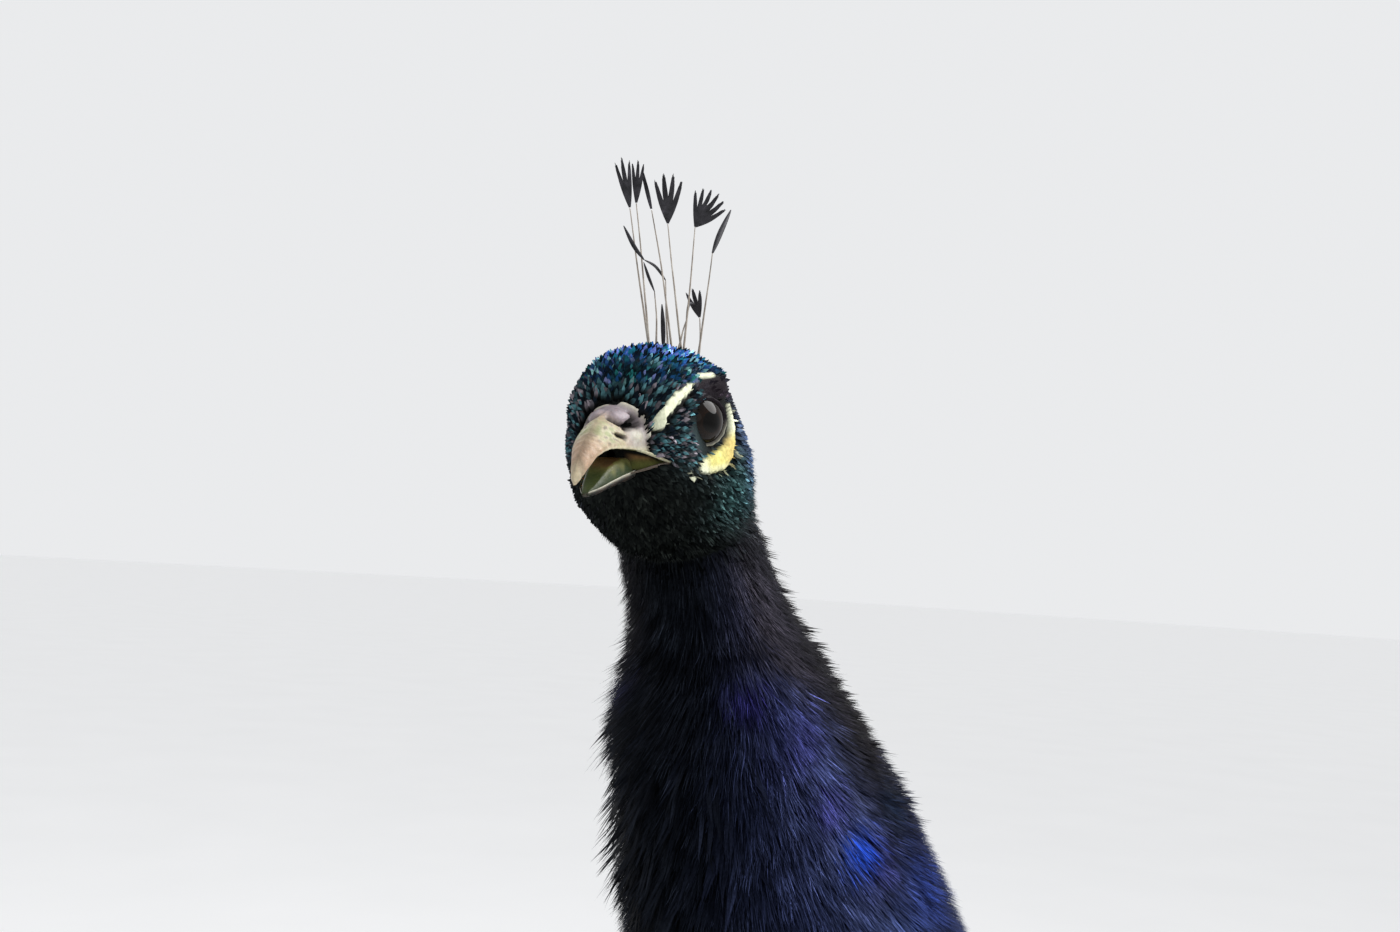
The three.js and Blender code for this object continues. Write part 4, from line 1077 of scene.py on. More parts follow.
def neckCoat(tLow, tHigh, spacing, strands, long, wide, half, proud, curl, fade=0.0):
    # tufts of fine strands; the throat's stand out a little as a beard, the nape's are short
    t, a = rootsOn(body, tLow, tHigh, spacing)
    keep = rng.random(len(t)) < smooth((tHigh - t) / max(fade, 1e-6))
    t, a = t[keep], a[keep]
    template = strandTuft(strands, 0.5)
    size = rng.uniform(0.8, 1.2, len(t))
    inFront = smooth((-np.cos(a) - 0.05) / 0.6)
    beard = bump(t, 16.7, 0.75) * inFront
    low = 1.2 * bump(t, 14.9, 0.8) * inFront
    nape = smooth((np.cos(a) + 0.1) / 0.6) * smooth((t - 14.5) / 0.8)
    lengths = np.interp(t, [tLow, tHigh], long) * size * (1 + 0.25 * beard - 0.35 * nape)
    curls = curl * rng.uniform(0.4, 1.5, len(t)) + 1.2 * beard
    verts = layOn(body, t, a, template, lengths, wide * size, half, proud=proud + 2.6 * beard + low,
                  curl=curls, sway=0.17, loose=0.3)
    tint = featherShade(template, len(t), colourUnder(t, a, lengths), 0.25, 0.5, 1.3)
    return verts, repeatFaces(template, len(t)), rootUvs(t, a, template, tLow, tHigh), tint, None


def shagCoat(tLow, tHigh, spacing, across, long, wide, half, proud, curl, spread):
    # clumps of strands that draw together into a point, standing out from the coat below them
    t, a = rootsOn(body, tLow, tHigh, spacing, across)
    edge = (smooth((t - tLow) / 0.4) * smooth((tHigh - t) / 0.4) * smooth((a - across[0]) / 0.3)
            * smooth((across[1] - a) / 0.3))
    template = strandTuft(7, spread, 4)
    lengths = rng.uniform(*long, len(t))
    verts = layOn(body, t, a, template, lengths, np.full(len(t), wide), half, proud=proud * edge,
                  curl=edge * rng.uniform(*curl, len(t)), sway=0.22, loose=0.12)
    tint = featherShade(template, len(t), colourUnder(t, a, lengths), 0.4, 0.4, 1.0)
    return verts, repeatFaces(template, len(t)), rootUvs(t, a, template, tLow, tHigh, across), tint, None


def addCoat(name, made, finish, slotName, *nodes):
    verts, faces, uvs, tint, vane = made
    maps = {"OFBake": uvs} if vane is None else {"OFBake": uvs, "vane": vane}
    addPiece(name, (verts, faces), finish, slotName, *nodes, uvs=maps, colours={"marking": tint})
    print(f"  {name}: {len(faces)} triangles")


print("head and neck coat")
addCoat("head_coat", headCoat(), headCoatFinish, "face_feathers")
neckSpec = {  # rings, spacing, strands, lengths, width, strand half width, proud, curl, fading above
    "upper": (16.2, headRow + 3.0, 1.75, 7, (9.5, 4.5), 1.5, 0.22, 0.3, 0.8, 2.6),
    "middle": (13.4, 16.5, 2.5, 8, (14, 10), 2.3, 0.28, 0.5, 1.1),
    "lower": (10.4, 13.7, 3.6, 8, (20, 15), 3.6, 0.42, 0.7, 1.4),
}
for name, spec in neckSpec.items():
    addCoat(f"neck_coat_{name}", neckCoat(*spec), neckCoatFinish, "blue_feathers")
addCoat("throat_shag", shagCoat(14.8, 16.9, 6.0, (pi * 0.74, pi * 1.48), (18, 26), 4.6, 0.8, 2.6, (0.0, 4.6),
                                -0.5), neckCoatFinish, "blue_feathers")
napeFinish = coatFinish("napeFeathers", 0.1, 0.6, Specular_Tint=(0.4, 0.36, 0.36, 1))
addCoat("nape_tufts", shagCoat(14.3, 18.6, 3.0, (-1.35, 1.35), (6, 10), 1.7, 0.5, 0.9, (0.3, 3.0), -0.35),
        napeFinish, "blue_feathers")


def vaneUvs(template, count):
    # across (0..1) and along (0..1) each vane, for patterns that follow it
    uv = np.stack([0.5 + 0.5 * template["across"], template["along"]], -1)
    return np.broadcast_to(uv, (count,) + uv.shape)


def vaneCoat(surface, t, a, template, long, wide, tint, span, across=(0, 2 * pi), spread=0.2, rootShade=0.5,
             flip=False, **how):
    # vanes with their own pattern: everything addCoat needs
    verts = layOn(surface, t, a, template, long, wide, **how)
    faces = repeatFaces(template, len(t))
    shade = featherShade(template, len(t), tint, rootShade, spread)
    faces = faces[:, ::-1] if flip else faces
    return verts, faces, rootUvs(t, a, template, *span, across), shade, vaneUvs(template, len(t))


def joinCoats(parts):
    # several coats as one piece
    verts, faces, uvs, tint, vane, start = [], [], [], [], [], 0
    for part in parts:
        v = part[0].reshape(-1, 3)
        verts.append(v)
        faces.append(part[1] + start)
        uvs.append(part[2].reshape(-1, 2))
        tint.append(part[3].reshape(-1, 3))
        vane.append(np.zeros((len(v), 2)) if part[4] is None else part[4].reshape(-1, 2))
        start += len(v)
    return tuple(np.concatenate(x) for x in (verts, faces, uvs, tint, vane))


def patternFinish(name, metallic, roughness, pattern):
    # a finish whose pattern is drawn along the vane's own map, over the marking colour
    made = Finish(name, Metallic=metallic, Roughness=roughness, Specular_IOR_Level=0.25)
    along = made.output("ShaderNodeUVMap", "UV", uv_map="vane")
    split = made.node("ShaderNodeSeparateXYZ", {"Vector": along})
    x, y = split.outputs["X"], split.outputs["Y"]
    made.link(pattern(made, x, y, made.colourOf("marking")), "Base Color")
    # barbs: fine ridges that slant from the shaft to the edge
    slant = made.math("SUBTRACT", made.times(y, 60.0), made.times(made.awayFrom(x, 0.5), 30.0))
    made.bumpFrom(made.math("SINE", made.times(slant, 6.283)), 0.00015, 0.6)
    return made.material


def scalePattern(made, x, y, tint):
    # a dark rim, then the tint, then a bluer heart; the rim's distance is 0 at the shaft and 1 at the edge
    rim = made.math("MAXIMUM", made.times(made.awayFrom(x, 0.5), 2.0), made.math("POWER", y, 3.0))
    heart = made.remap(rim, 0.25, 0.5, 1.0, 0.0)
    inner = made.blend(heart, tint, (0.006, 0.075, 0.075))
    return made.blend(made.remap(rim, 0.66, 0.8, 0.0, 1.0), inner, (0.004, 0.006, 0.004))


def barPattern(made, x, y, tint):
    # wavy dark bars across a buff vane
    wobble = made.times(made.noise(120, 3, roughness=0.6), 7.0)
    bars = made.math("SINE", made.plus(made.times(y, 26.0), wobble))
    return made.blend(made.remap(bars, -0.15, 0.2, 0.0, 1.0), tint, (0.012, 0.010, 0.009))


def plainPattern(made, x, y, tint):
    # a darker shaft line and a faint mottling
    shaft = made.remap(made.awayFrom(x, 0.5), 0.02, 0.05, 1.0, 0.0)
    return made.blend(made.times(shaft, 0.6), made.mottled(tint, 90, 4, 0.7, 1.3), (0.03, 0.022, 0.015))


print("trunk coat")
scaleFinish = patternFinish("backScales", 0.65, 0.36, scalePattern)


trunkSpec = {  # the rings that each coat covers, and the angles from the back's line
    "back": (1.4, 11.6), "backAcross": (-1.95, 1.95), "belly": (0.5, 10.8),
    "bellyAcross": (1.45, 2 * pi - 1.45),
}


def backCoat():
    # rounded green-gold scales over the back and shoulders
    template = vaneLeaf(5, 8, tip=0.6, root=0.5)
    span, across = trunkSpec["back"], trunkSpec["backAcross"]
    t, a = rootsOn(body, *span, ([1.4, 6, 9, 11.6], [11, 9.5, 8, 6]), across)
    long = np.interp(t, [1, 6, 9, 11.6], [27, 22, 18, 14]) * rng.uniform(0.9, 1.1, len(t))
    p = bodyPoint(t, a)
    share = np.clip(0.55 + 0.25 * rng.normal(0, 1, len(t)), 0, 1)
    gold = mix(colour("backGreen"), colour("backGold"), share[:, None])
    tint = lay(gold, colour("neckCobalt"), smooth((t - 10.2) / 1.3))
    tint = lay(tint, bodyColour(t, a, p), smooth((np.abs(a) - 1.5) / 0.4))
    return vaneCoat(body, t, a, template, long, 0.36 * long, tint, span, across, proud=1.0, curl=0.8,
                    camber=0.10)


def bellyCoat():
    # loose dark strands under the trunk, long and soft behind the legs
    template = strandTuft(9, 0.5)
    span, across = trunkSpec["belly"], trunkSpec["bellyAcross"]
    t, a = rootsOn(body, *span, ([0.5, 6, 10.8], [8.5, 7.5, 5.0]), across)
    long = np.interp(t, [0, 3, 10.8], [42, 34, 21]) * rng.uniform(0.8, 1.2, len(t))
    p = bodyPoint(t, a)
    verts = layOn(body, t, a, template, long, 0.22 * long, strandHalf=0.6, proud=1.2, curl=2.2, sway=0.2,
                  loose=0.3)
    tint = featherShade(template, len(t), bodyColour(t, a, p), 0.4, 0.4, 1.3)
    return verts, repeatFaces(template, len(t)), rootUvs(t, a, template, *span, across), tint, None


addCoat("back_scales", backCoat(), scaleFinish, "train_feathers")
addCoat("belly_coat", bellyCoat(), neckCoatFinish, "blue_feathers")


print("wings")
wingSpec = {
    # y, top z, top x, bottom z, bottom x, outermost x: from the shoulder to the tip of the flight feathers
    "rows": [
        (-113, 432, 60, 414, 62, 66), (-104, 450, 53, 398, 60, 76), (-80, 467, 52, 362, 68, 93),
        (-40, 471, 52, 332, 68, 104), (10, 466, 52, 318, 66, 107), (70, 457, 50, 318, 63, 104),
        (130, 445, 48, 326, 58, 96), (190, 429, 46, 340, 52, 84), (240, 413, 44, 352, 47, 72),
        (285, 397, 43, 363, 44, 59), (322, 383, 42, 373, 42, 49),
    ],
    "thick": 15, "edge": 1.3, "under": 3.0, "inner": 20, "swell": 2.0,
    "buff": (0.36, 0.28, 0.17), "secondary": (0.006, 0.022, 0.028), "primary": (0.23, 0.085, 0.028),
}


trunkY, trunkZ = np.array(trunkRings)[8::-1, 0:2].T  # the back's line, from the shoulders to the rump


def wingSurface(side):
    # share k goes from the upper edge to the lower one; the wing bulges outwards by sin(pi k)^0.75
    def point(t, k, grow):
        y, topZ, topX, bottomZ, bottomX, outX = np.moveaxis(tableAt(wingSpec["rows"], t), -1, 0)
        inside = np.clip(k, 0.0, 1.0)
        over = np.maximum(k - 1, 0)
        inward = np.clip(-k, 0.0, 1.0) * smooth((t - 0.6) / 3)
        x = mix(topX, bottomX, inside)
        x = x + (outX + grow - x) * np.sin(pi * inside) ** 0.75 + wingSpec["edge"] + 0.4 * grow
        z = mix(topZ, bottomZ, inside) - over * 0.4 * (topZ - bottomZ) + grow * bump(inside, 0, 0.1)
        # negative shares run in from the upper edge to the middle of the back
        x = mix(x, wingSpec["inner"], inward)
        z = mix(z, np.interp(y, trunkY, trunkZ) + grow, inward) + wingSpec["swell"] * np.sin(pi * inward)
        return np.stack(np.broadcast_arrays(side * x, y, z), -1)
    return {"point": point, "lie": 1, "low": 0.0, "high": 9.98, "depth": lambda t: 2.4 + 0 * t}


def wingUnder(side):
    # a closed near-black shell under the feathers, from the outer line round to the inner one: painted shade
    # where it shows between them
    t, j = np.meshgrid(np.linspace(0.15, 9.6, 60), np.arange(40), indexing="ij")
    y, topZ, topX, bottomZ, bottomX, outX = np.moveaxis(tableAt(wingSpec["rows"], t), -1, 0)
    outer = j < 20
    k = np.where(outer, j / 19, (39 - j) / 19)
    inset = wingSpec["under"]
    k = 0.03 + 0.94 * k
    x = mix(topX, bottomX, k)
    bulge = np.sin(pi * k) ** 0.75
    x = np.where(outer, x + (outX - inset - x) * bulge, x + (outX - wingSpec["thick"] + 1 - x) * bulge - 0.8)
    return shellFrom(np.stack([side * x, y, mix(topZ, bottomZ, k)], -1), flip=side < 0)


def wingCoat(side):
    # lesser to greater coverts in staggered rows, then long secondaries over longer primaries
    surface = wingSurface(side)
    flip = side < 0
    short = vaneLeaf(5, 8, tip=0.6, root=0.5)
    t, k = rootsOn(surface, 0.05, 6.0, ([0, 2, 6], [6.5, 9, 13]), across=(-0.85, 1.0))
    keep = (k > 0) | (t > 2.4)
    t, k = t[keep], k[keep]
    long = np.interp(t, [0, 2, 6], [15, 24, 40]) * rng.uniform(0.9, 1.1, len(t))
    tint = np.array(wingSpec["buff"]) * rng.uniform(0.75, 1.15, len(t))[:, None]
    coverts = vaneCoat(surface, t, k, short, long, 0.34 * long, tint, (0, 10), (-1, 1), flip=flip, proud=1.2,
                       curl=0.6, camber=0.08)
    longLeaf = vaneLeaf(5, 16, tip=0.8, root=0.7)

    def quills(count, tRoot, kRange, longRange, wide, tint, proud):
        share = np.linspace(0, 1, count)
        t = tRoot + 0.5 * share
        k = mix(*kRange, share)
        tints = np.broadcast_to(np.array(wingSpec[tint]), (count, 3))
        turned = np.where(side > 0, -1, 1) * mix(0.10, -0.12, share)
        return vaneCoat(surface, t, k, longLeaf, mix(*longRange, share), np.full(count, wide), tints,
                        (0, 10), (0, 1), flip=flip, proud=proud, curl=0.3, sway=0.02, camber=0.03,
                        turned=turned)

    secondaries = quills(15, 4.5, (0.15, 0.86), (120, 112), 11.0, "secondary", 0.8)
    primaries = quills(10, 5.6, (0.5, 0.96), (172, 150), 8.5, "primary", -0.6)
    return coverts, secondaries, primaries


barFinish = patternFinish("barredCoverts", 0.05, 0.6, barPattern)
quillFinish = patternFinish("quills", 0.15, 0.5, plainPattern)
# painted shade: a near-black finish for the shells under the wings and the train, which show only in the
# gaps between feathers
shadeShellStops = [(0.3, (0.010, 0.009, 0.007)), (0.7, (0.035, 0.03, 0.022))]
shadeShellFinish = rampFinish("innerShadeShells", (130, 4), shadeShellStops, (500, 3, 0.0005, 0.6), Roughness=0.7,
                         Specular_IOR_Level=0.1)
wingParts = {1: wingCoat(1), -1: wingCoat(-1)}
addCoat("wing_coverts", joinCoats([wingParts[1][0], wingParts[-1][0]]), barFinish, "barred_feathers",
        "wing_left", "wing_right")
addCoat("flight_feathers", joinCoats([part for side in (1, -1) for part in wingParts[side][1:]]),
        quillFinish, "chestnut_feathers", "flight_feathers_left", "flight_feathers_right")
addPiece("wing_underside", joinShells([wingUnder(1), wingUnder(-1)]), shadeShellFinish.material,
         "barred_feathers")


print("train")
trainSpec = {
    # y, top z, bottom z, half width: from the lower back to the end that lies on the floor
    "rows": [
        (92, 455, 428, 46), (120, 456, 410, 62), (165, 452, 396, 74), (230, 443, 386, 82),
        (320, 424, 366, 90), (430, 394, 332, 98), (560, 352, 290, 107), (700, 303, 241, 117),
        (850, 246, 184, 128), (1000, 186, 124, 139), (1140, 130, 70, 148), (1260, 84, 28, 153),
        (1360, 52, 1, 152), (1440, 34, 1, 142), (1500, 24, 1, 122), (1545, 16, 1, 100), (1590, 9, 1, 70),
    ],
    "dome": 0.62, "plume": 175, "plumeHalf": 27, "eye": (15.5, 18.5), "eyeFromTip": 25,
    "barbs": 62, "barbHalf": 0.55, "green": (0.040, 0.115, 0.020), "bronze": (0.175, 0.100, 0.022),
    "dun": (0.055, 0.042, 0.026),
}


def trainPoint(t, a, grow):
    # a domed section: z = waist + (top - waist) cos(a)^0.9 above, flatter below, x = width sin(a)
    y, top, low, width = np.moveaxis(tableAt(trainSpec["rows"], t), -1, 0)
    low = low - grow * (low > 2)
    waist = mix(top, low, trainSpec["dome"])
    rise = np.cos(a)
    z = np.where(rise >= 0, waist + (top + grow - waist) * np.abs(rise) ** 0.9,
                 waist - (waist - low) * np.abs(rise) ** 0.7)
    return np.stack(np.broadcast_arrays((width + grow) * np.sin(a), y, np.maximum(z, 0.4)), -1)


def trainDepth(t):
    return np.interp(t, [0, 10, 12.5, 16], [7, 6, 3, 1.2])


train = {"point": trainPoint, "lie": 1, "low": 0.0, "high": 15.95, "depth": trainDepth}


def plume(seed):
    # a template of one train feather in millimetres: a shaft, loose barbs that slant to the tip, and a disc
    own = np.random.default_rng(seed)
    tip, half = trainSpec["plume"], trainSpec["plumeHalf"]
    eyeAt = tip - trainSpec["eyeFromTip"]
    along, across, faces = [], [], []

    def add(x, y, quads):
        start = sum(len(v) for v in along)
        along.append(y.ravel())
        across.append(x.ravel())
        faces.append(halved(quads) + start)

    y = np.linspace(0, eyeAt - 14, 10)
    add(np.stack([0 * y - 0.9, 0 * y + 0.9], 1), np.stack([y, y], 1), gridFaces(10, 2, closed=False))
    share = np.linspace(0.02, 1, trainSpec["barbs"])
    for side in (-1, 1):
        root = share * (eyeAt - 4) + own.normal(0, 0.8, len(share))
        long = half * (0.95 + 0.35 * own.random(len(share))) * mix(1.0, 0.95, share)
        lean = mix(0.95, 0.55, share) + own.normal(0, 0.07, len(share))
        s = np.linspace(0, 1, 4)[None, :]
        x = side * (long * np.sin(lean))[:, None] * s
        up = root[:, None] + (long * np.cos(lean))[:, None] * s + 4 * s ** 2
        width = trainSpec["barbHalf"] * (1 - 0.8 * s)
        aside, ahead = side * width * np.cos(lean)[:, None], width * np.sin(lean)[:, None]
        xx = np.stack([x - aside, x + aside], -1)
        yy = np.stack([up + ahead, up - ahead], -1)
        quads = gridFaces(4, 2, closed=False)
        if side < 0:
            quads = quads[:, ::-1]
        add(xx, yy, repeated(quads, len(share), 8))
    # the disc round the eye, as rings from its middle
    r, a = ringGrid(np.linspace(0.02, 1.16, 7), around=22)
    ragged = np.where(r > 1.1, 1 + 0.06 * own.normal(0, 1, r.shape), 1)
    x = trainSpec["eye"][0] * r * ragged * np.sin(a)
    y = eyeAt + trainSpec["eye"][1] * r * ragged * np.cos(a)
    add(x, y, gridFaces(7, 22)[:, ::-1])
    along, across = np.concatenate(along), np.concatenate(across)
    return {"along": along / tip, "across": across / half, "half": 0 * along,
            "strand": np.zeros(len(along), int), "strands": 1, "faces": np.concatenate(faces)}


def eyePattern(made, x, y, tint):
    # rings of the eye by the distance from its middle in shares of its radii; outside, the barbs' tint
    acrossHalf, alongHalf = trainSpec["eye"]
    across = made.times(made.math("SUBTRACT", x, 0.5), 2 * trainSpec["plumeHalf"] / acrossHalf)
    fromTip = made.math("SUBTRACT", y, 1 - trainSpec["eyeFromTip"] / trainSpec["plume"])
    along = made.times(fromTip, trainSpec["plume"] / alongHalf)
    distance = made.length(across, along)
    # the dark heart is notched below and sits a little low
    lowered = made.plus(along, 0.12)
    narrow = made.remap(made.math("ABSOLUTE", across), 0.0, 0.16, 0.2, 0.0)
    notch = made.times(narrow, made.remap(lowered, -0.3, 0.0, 1.0, 0.0))
    heart = made.plus(made.length(across, lowered), notch)
    rings = made.ramp(made.math("DIVIDE", distance, 1.4), [
        (0.0, (0.004, 0.13, 0.17)), (0.36, (0.004, 0.16, 0.20)), (0.40, (0.30, 0.115, 0.028)),
        (0.60, (0.26, 0.10, 0.025)), (0.63, (0.30, 0.30, 0.04)), (0.67, (0.03, 0.10, 0.03)),
        (0.72, (0.20, 0.14, 0.035)), (0.80, (0.06, 0.10, 0.02)),
    ])
    eyed = made.blend(made.remap(heart, 0.30, 0.34, 1.0, 0.0), rings, (0.010, 0.006, 0.075))
    whole = made.blend(made.remap(distance, 1.08, 1.2, 1.0, 0.0), tint, eyed)
    return made.mottled(whole, 420, 4, 0.65, 1.35)


def plumeCoat(tLow, tHigh, spacing, across, seed):
    # eyed feathers in staggered rows, smaller towards the back
    parts = []
    t, a = rootsOn(train, tLow, tHigh, spacing, across)
    which = np.arange(len(t)) % 3
    for kind in range(3):
        template = plume(seed + kind)
        tt, aa = t[which == kind], a[which == kind]
        size = np.interp(tt, [0, 2, 5], [0.45, 0.62, 1.0]) * rng.uniform(0.94, 1.06, len(tt))
        bronze = np.clip(rng.normal(0.5, 0.22, len(tt)), 0, 1)[:, None]
        tint = mix(np.array(trainSpec["green"]), np.array(trainSpec["bronze"]), bronze)
        curl = rng.uniform(0.5, 2.5, len(tt))
        long, wide = trainSpec["plume"] * size, trainSpec["plumeHalf"] * size
        parts.append(vaneCoat(train, tt, aa, template, long, wide, tint, (0, 16), (-pi, pi), spread=0.15,
                              rootShade=0.55, proud=1.5, curl=curl, sway=0.06, camber=0.05))
    return joinCoats(parts)


def trainScales():
    # green-gold scales that run from the back over the train's root, each larger than the last
    template = vaneLeaf(5, 8, tip=0.6, root=0.5)
    t, a = rootsOn(train, 0.0, 4.2, ([0, 2, 4.2], [10, 13, 19]), across=(-2.0, 2.0))
    long = np.interp(t, [0, 2, 4.2], [26, 34, 52]) * rng.uniform(0.9, 1.1, len(t))
    share = np.clip(0.5 + 0.25 * rng.normal(0, 1, len(t)), 0, 1)
    gold = mix(np.array(trainSpec["green"]), colour("backGold"), share[:, None])
    return vaneCoat(train, t, a, template, long, 0.34 * long, gold, (0, 16), (-pi, pi), proud=1.2, curl=0.8,
                    camber=0.1)


def trainUnderCoat():
    # plain dun vanes under the train
    template = vaneLeaf(5, 9, tip=0.8, root=0.4)
    t, a = rootsOn(train, 1.0, 12.6, 34, across=(1.75, 2 * pi - 1.75))
    tint = np.array(trainSpec["dun"]) * rng.uniform(0.7, 1.3, len(t))[:, None]
    return vaneCoat(train, t, a, template, rng.uniform(120, 160, len(t)), np.full(len(t), 17.0), tint,
                    (0, 16), (0, 2 * pi), proud=0.8, curl=1.0, sway=0.08, camber=0.05)


def trainCore():
    # a near-black bundle under the train's feathers, so that no light shows through: painted shade where it
    # shows between them
    t, a = ringGrid(np.linspace(0.7, 15.4, 130), around=64)
    return shellFrom(trainPoint(t, a, -trainDepth(t)), flip=True)


plumeFinishEyed = patternFinish("eyedPlumes", 0.5, 0.38, eyePattern)
addCoat("train_scales", trainScales(), scaleFinish, "train_feathers")
for name, node, low, high, spacing, seed in (
    ("upper", "train_root", 2.2, 7.4, ([2, 5, 8], [26, 36, 40]), 3),
    ("middle", "train_middle", 7.5, 10.6, 40, 6),
    ("lower", "train_end", 10.7, 14.6, 38, 9),
):
    plumes = plumeCoat(low, high, spacing, (-2.0, 2.0), seed)
    addCoat(f"train_plumes_{name}", plumes, plumeFinishEyed, "train_feathers", node)
addCoat("train_underside", trainUnderCoat(), quillFinish, "train_feathers")
addPiece("train_core", trainCore(), shadeShellFinish.material, "train_feathers")


print("tail")
tailSpec = {
    # y, z, half width
    "rows": [
        (228, 384, 34), (270, 375, 46), (340, 357, 58), (420, 333, 68), (500, 307, 75), (560, 287, 74),
        (590, 277, 60),
    ],
    "droop": 0.0018, "quills": 18, "half": 10, "brown": (0.22, 0.165, 0.11),
}


def tailQuills():
    # stiff vanes side by side in a fan: x = lane * width, z falls by droop * x^2, each laid over the next
    lane = np.linspace(-0.9, 0.9, tailSpec["quills"])[:, None]
    template = vaneLeaf(7, 20, tip=0.85, root=0.7)
    s = template["along"][None, :] * (1 - 0.12 * lane ** 2)
    y, z, width = np.moveaxis(tableAt(tailSpec["rows"], s * (len(tailSpec["rows"]) - 1)), -1, 0)
    x = lane * width + template["across"][None, :] * tailSpec["half"]
    z = (z - tailSpec["droop"] * x ** 2 + 1.2 - 2.6 * np.abs(lane)
         - 0.04 * template["across"][None, :] ** 2 * tailSpec["half"])
    verts = np.stack([x, y, z], -1)
    count = len(lane)
    tint = featherShade(template, count, np.broadcast_to(np.array(tailSpec["brown"]), (count, 3)), 0.6, 0.12)
    uvs = np.stack([0.05 + 0.9 * (lane + 1) / 2 + 0.04 * (template["across"][None, :]), 0.02 + 0.96 * s], -1)
    return verts, repeatFaces(template, count), uvs, tint, vaneUvs(template, count)


addCoat("tail_quills", tailQuills(), quillFinish, "tail_feathers", "tail")


print("legs")
legSpec = {
    "step": 14, "knee": (60, 6, 330), "hock": (53, 72, 152), "ankle": (52, 10, 16), "pad": (52, 8, 7),
    "sole": 0.84, "toeTip": 0.62, "padRadius": 9.5, "hornBelow": 160,
    # splay in degrees, length to the claw, root radius, claw length
    "toes": {"middle": (4, 60, 6.4, 14), "inner": (-27, 43, 5.6, 12), "outer": (33, 46, 5.6, 12),
             "hind": (172, 22, 4.6, 11)},
    "thighDepth": 7, "voxel": 0.0012, "kept": 0.3, "buff": (0.27, 0.21, 0.13), "horn": (0.16, 0.135, 0.105),
}


def legPoint(side, point):
    # lower points shift more with the stride
    x, y, z = point
    share = 1 - min(max(z / legSpec["knee"][2], 0), 1)
    return np.array((side * x, y - side * legSpec["step"] * share, z), float)


def curveThrough(points, t):
    return tableAt(points, t * (len(points) - 1))


def ovalTube(points, t, a, sideRadius, foreRadius):
    # an oval section carried along a curve: centre - sideRadius cos(a) * side - foreRadius sin(a) * fore
    centre = curveThrough(points, t)
    along = unit(curveThrough(points, t + 1e-3) - curveThrough(points, t - 1e-3))
    side = unit(np.cross(along, np.array((0.0, 1.0, 0.0))))
    fore = np.cross(side, along)
    return centre - (sideRadius * np.cos(a))[..., None] * side - (foreRadius * np.sin(a))[..., None] * fore


def thighSurface(side):
    # rounded off above the knee, inside the trunk
    path = [legPoint(side, q) for q in ((50, -6, 378), legSpec["knee"], (60, 20, 282), (58, 42, 228),
                                        (55, 62, 182), legSpec["hock"])]

    def point(t, a, grow):
        k = np.clip((t - 0.2) / 0.8, 0, 1)
        dome = np.sqrt(np.clip(1 - np.clip(1 - t / 0.22, 0, 1) ** 2, 0.01, 1))
        return ovalTube(path, np.clip(t, 0, 1), a, (mix(36, 11, k ** 0.75) + grow) * dome,
                        (mix(52, 11.5, k ** 0.72) + grow) * dome)
    return {"point": point, "lie": 1, "low": 0.0, "high": 0.995,
            "depth": lambda t: mix(legSpec["thighDepth"], 3, np.clip(t, 0, 1))}


def shankShell(side):
    path = [legPoint(side, q) for q in ((53.2, 72.8, 158), (53, 60, 122), (52.5, 34, 68), (52, 14, 26),
                                        legSpec["ankle"])]
    t, a = ringGrid(np.linspace(0, 1, 60), around=28)
    joint, footSwell = bump(t, 0, 0.1), bump(t, 1, 0.12) * (1 - smooth((t - 0.93) / 0.09))
    return shellFrom(ovalTube(path, t, a, 4.6 + 4.2 * joint + 1.9 * footSwell,
                              6.0 + 4.0 * joint + 1.2 * footSwell))


def toeLine(side, name):
    splay, long, radius, clawLong = legSpec["toes"][name]
    heading = np.array((side * sin(radians(splay)), -cos(radians(splay)), 0.0))
    root = legPoint(side, legSpec["pad"])
    root[2] = 15 if name == "hind" else radius * legSpec["sole"]
    end = root + heading * long
    end[2] = radius * legSpec["toeTip"] * legSpec["sole"]
    return root, end, heading, radius, clawLong


def toeShell(side, name):
    root, end, _, radius, _ = toeLine(side, name)
    knuckle = mix(root, end, 0.45) - np.array((0, 0, 1.0 if name == "hind" else 0.0))
    t = np.linspace(0, 1, 60)
    path = curveThrough([root, knuckle, end], t)
    girth = (radius * mix(1, legSpec["toeTip"], t) * (1 + 0.07 * np.cos(6 * pi * t))
             * np.sqrt(np.clip((1.03 - t) / 0.06, 0, 1)))
    return shellFrom(tubeAlong(path, girth, 20))


def padShell(side):
    at = legPoint(side, legSpec["pad"])
    polar, a = ringGrid(np.linspace(0.02, pi - 0.02, 24), around=32)
    r = legSpec["padRadius"]
    ball = [r * np.sin(polar) * np.cos(a), r * np.sin(polar) * np.sin(a), 0.75 * r * np.cos(polar)]
    return shellFrom(at + np.stack(ball, -1), flip=True)


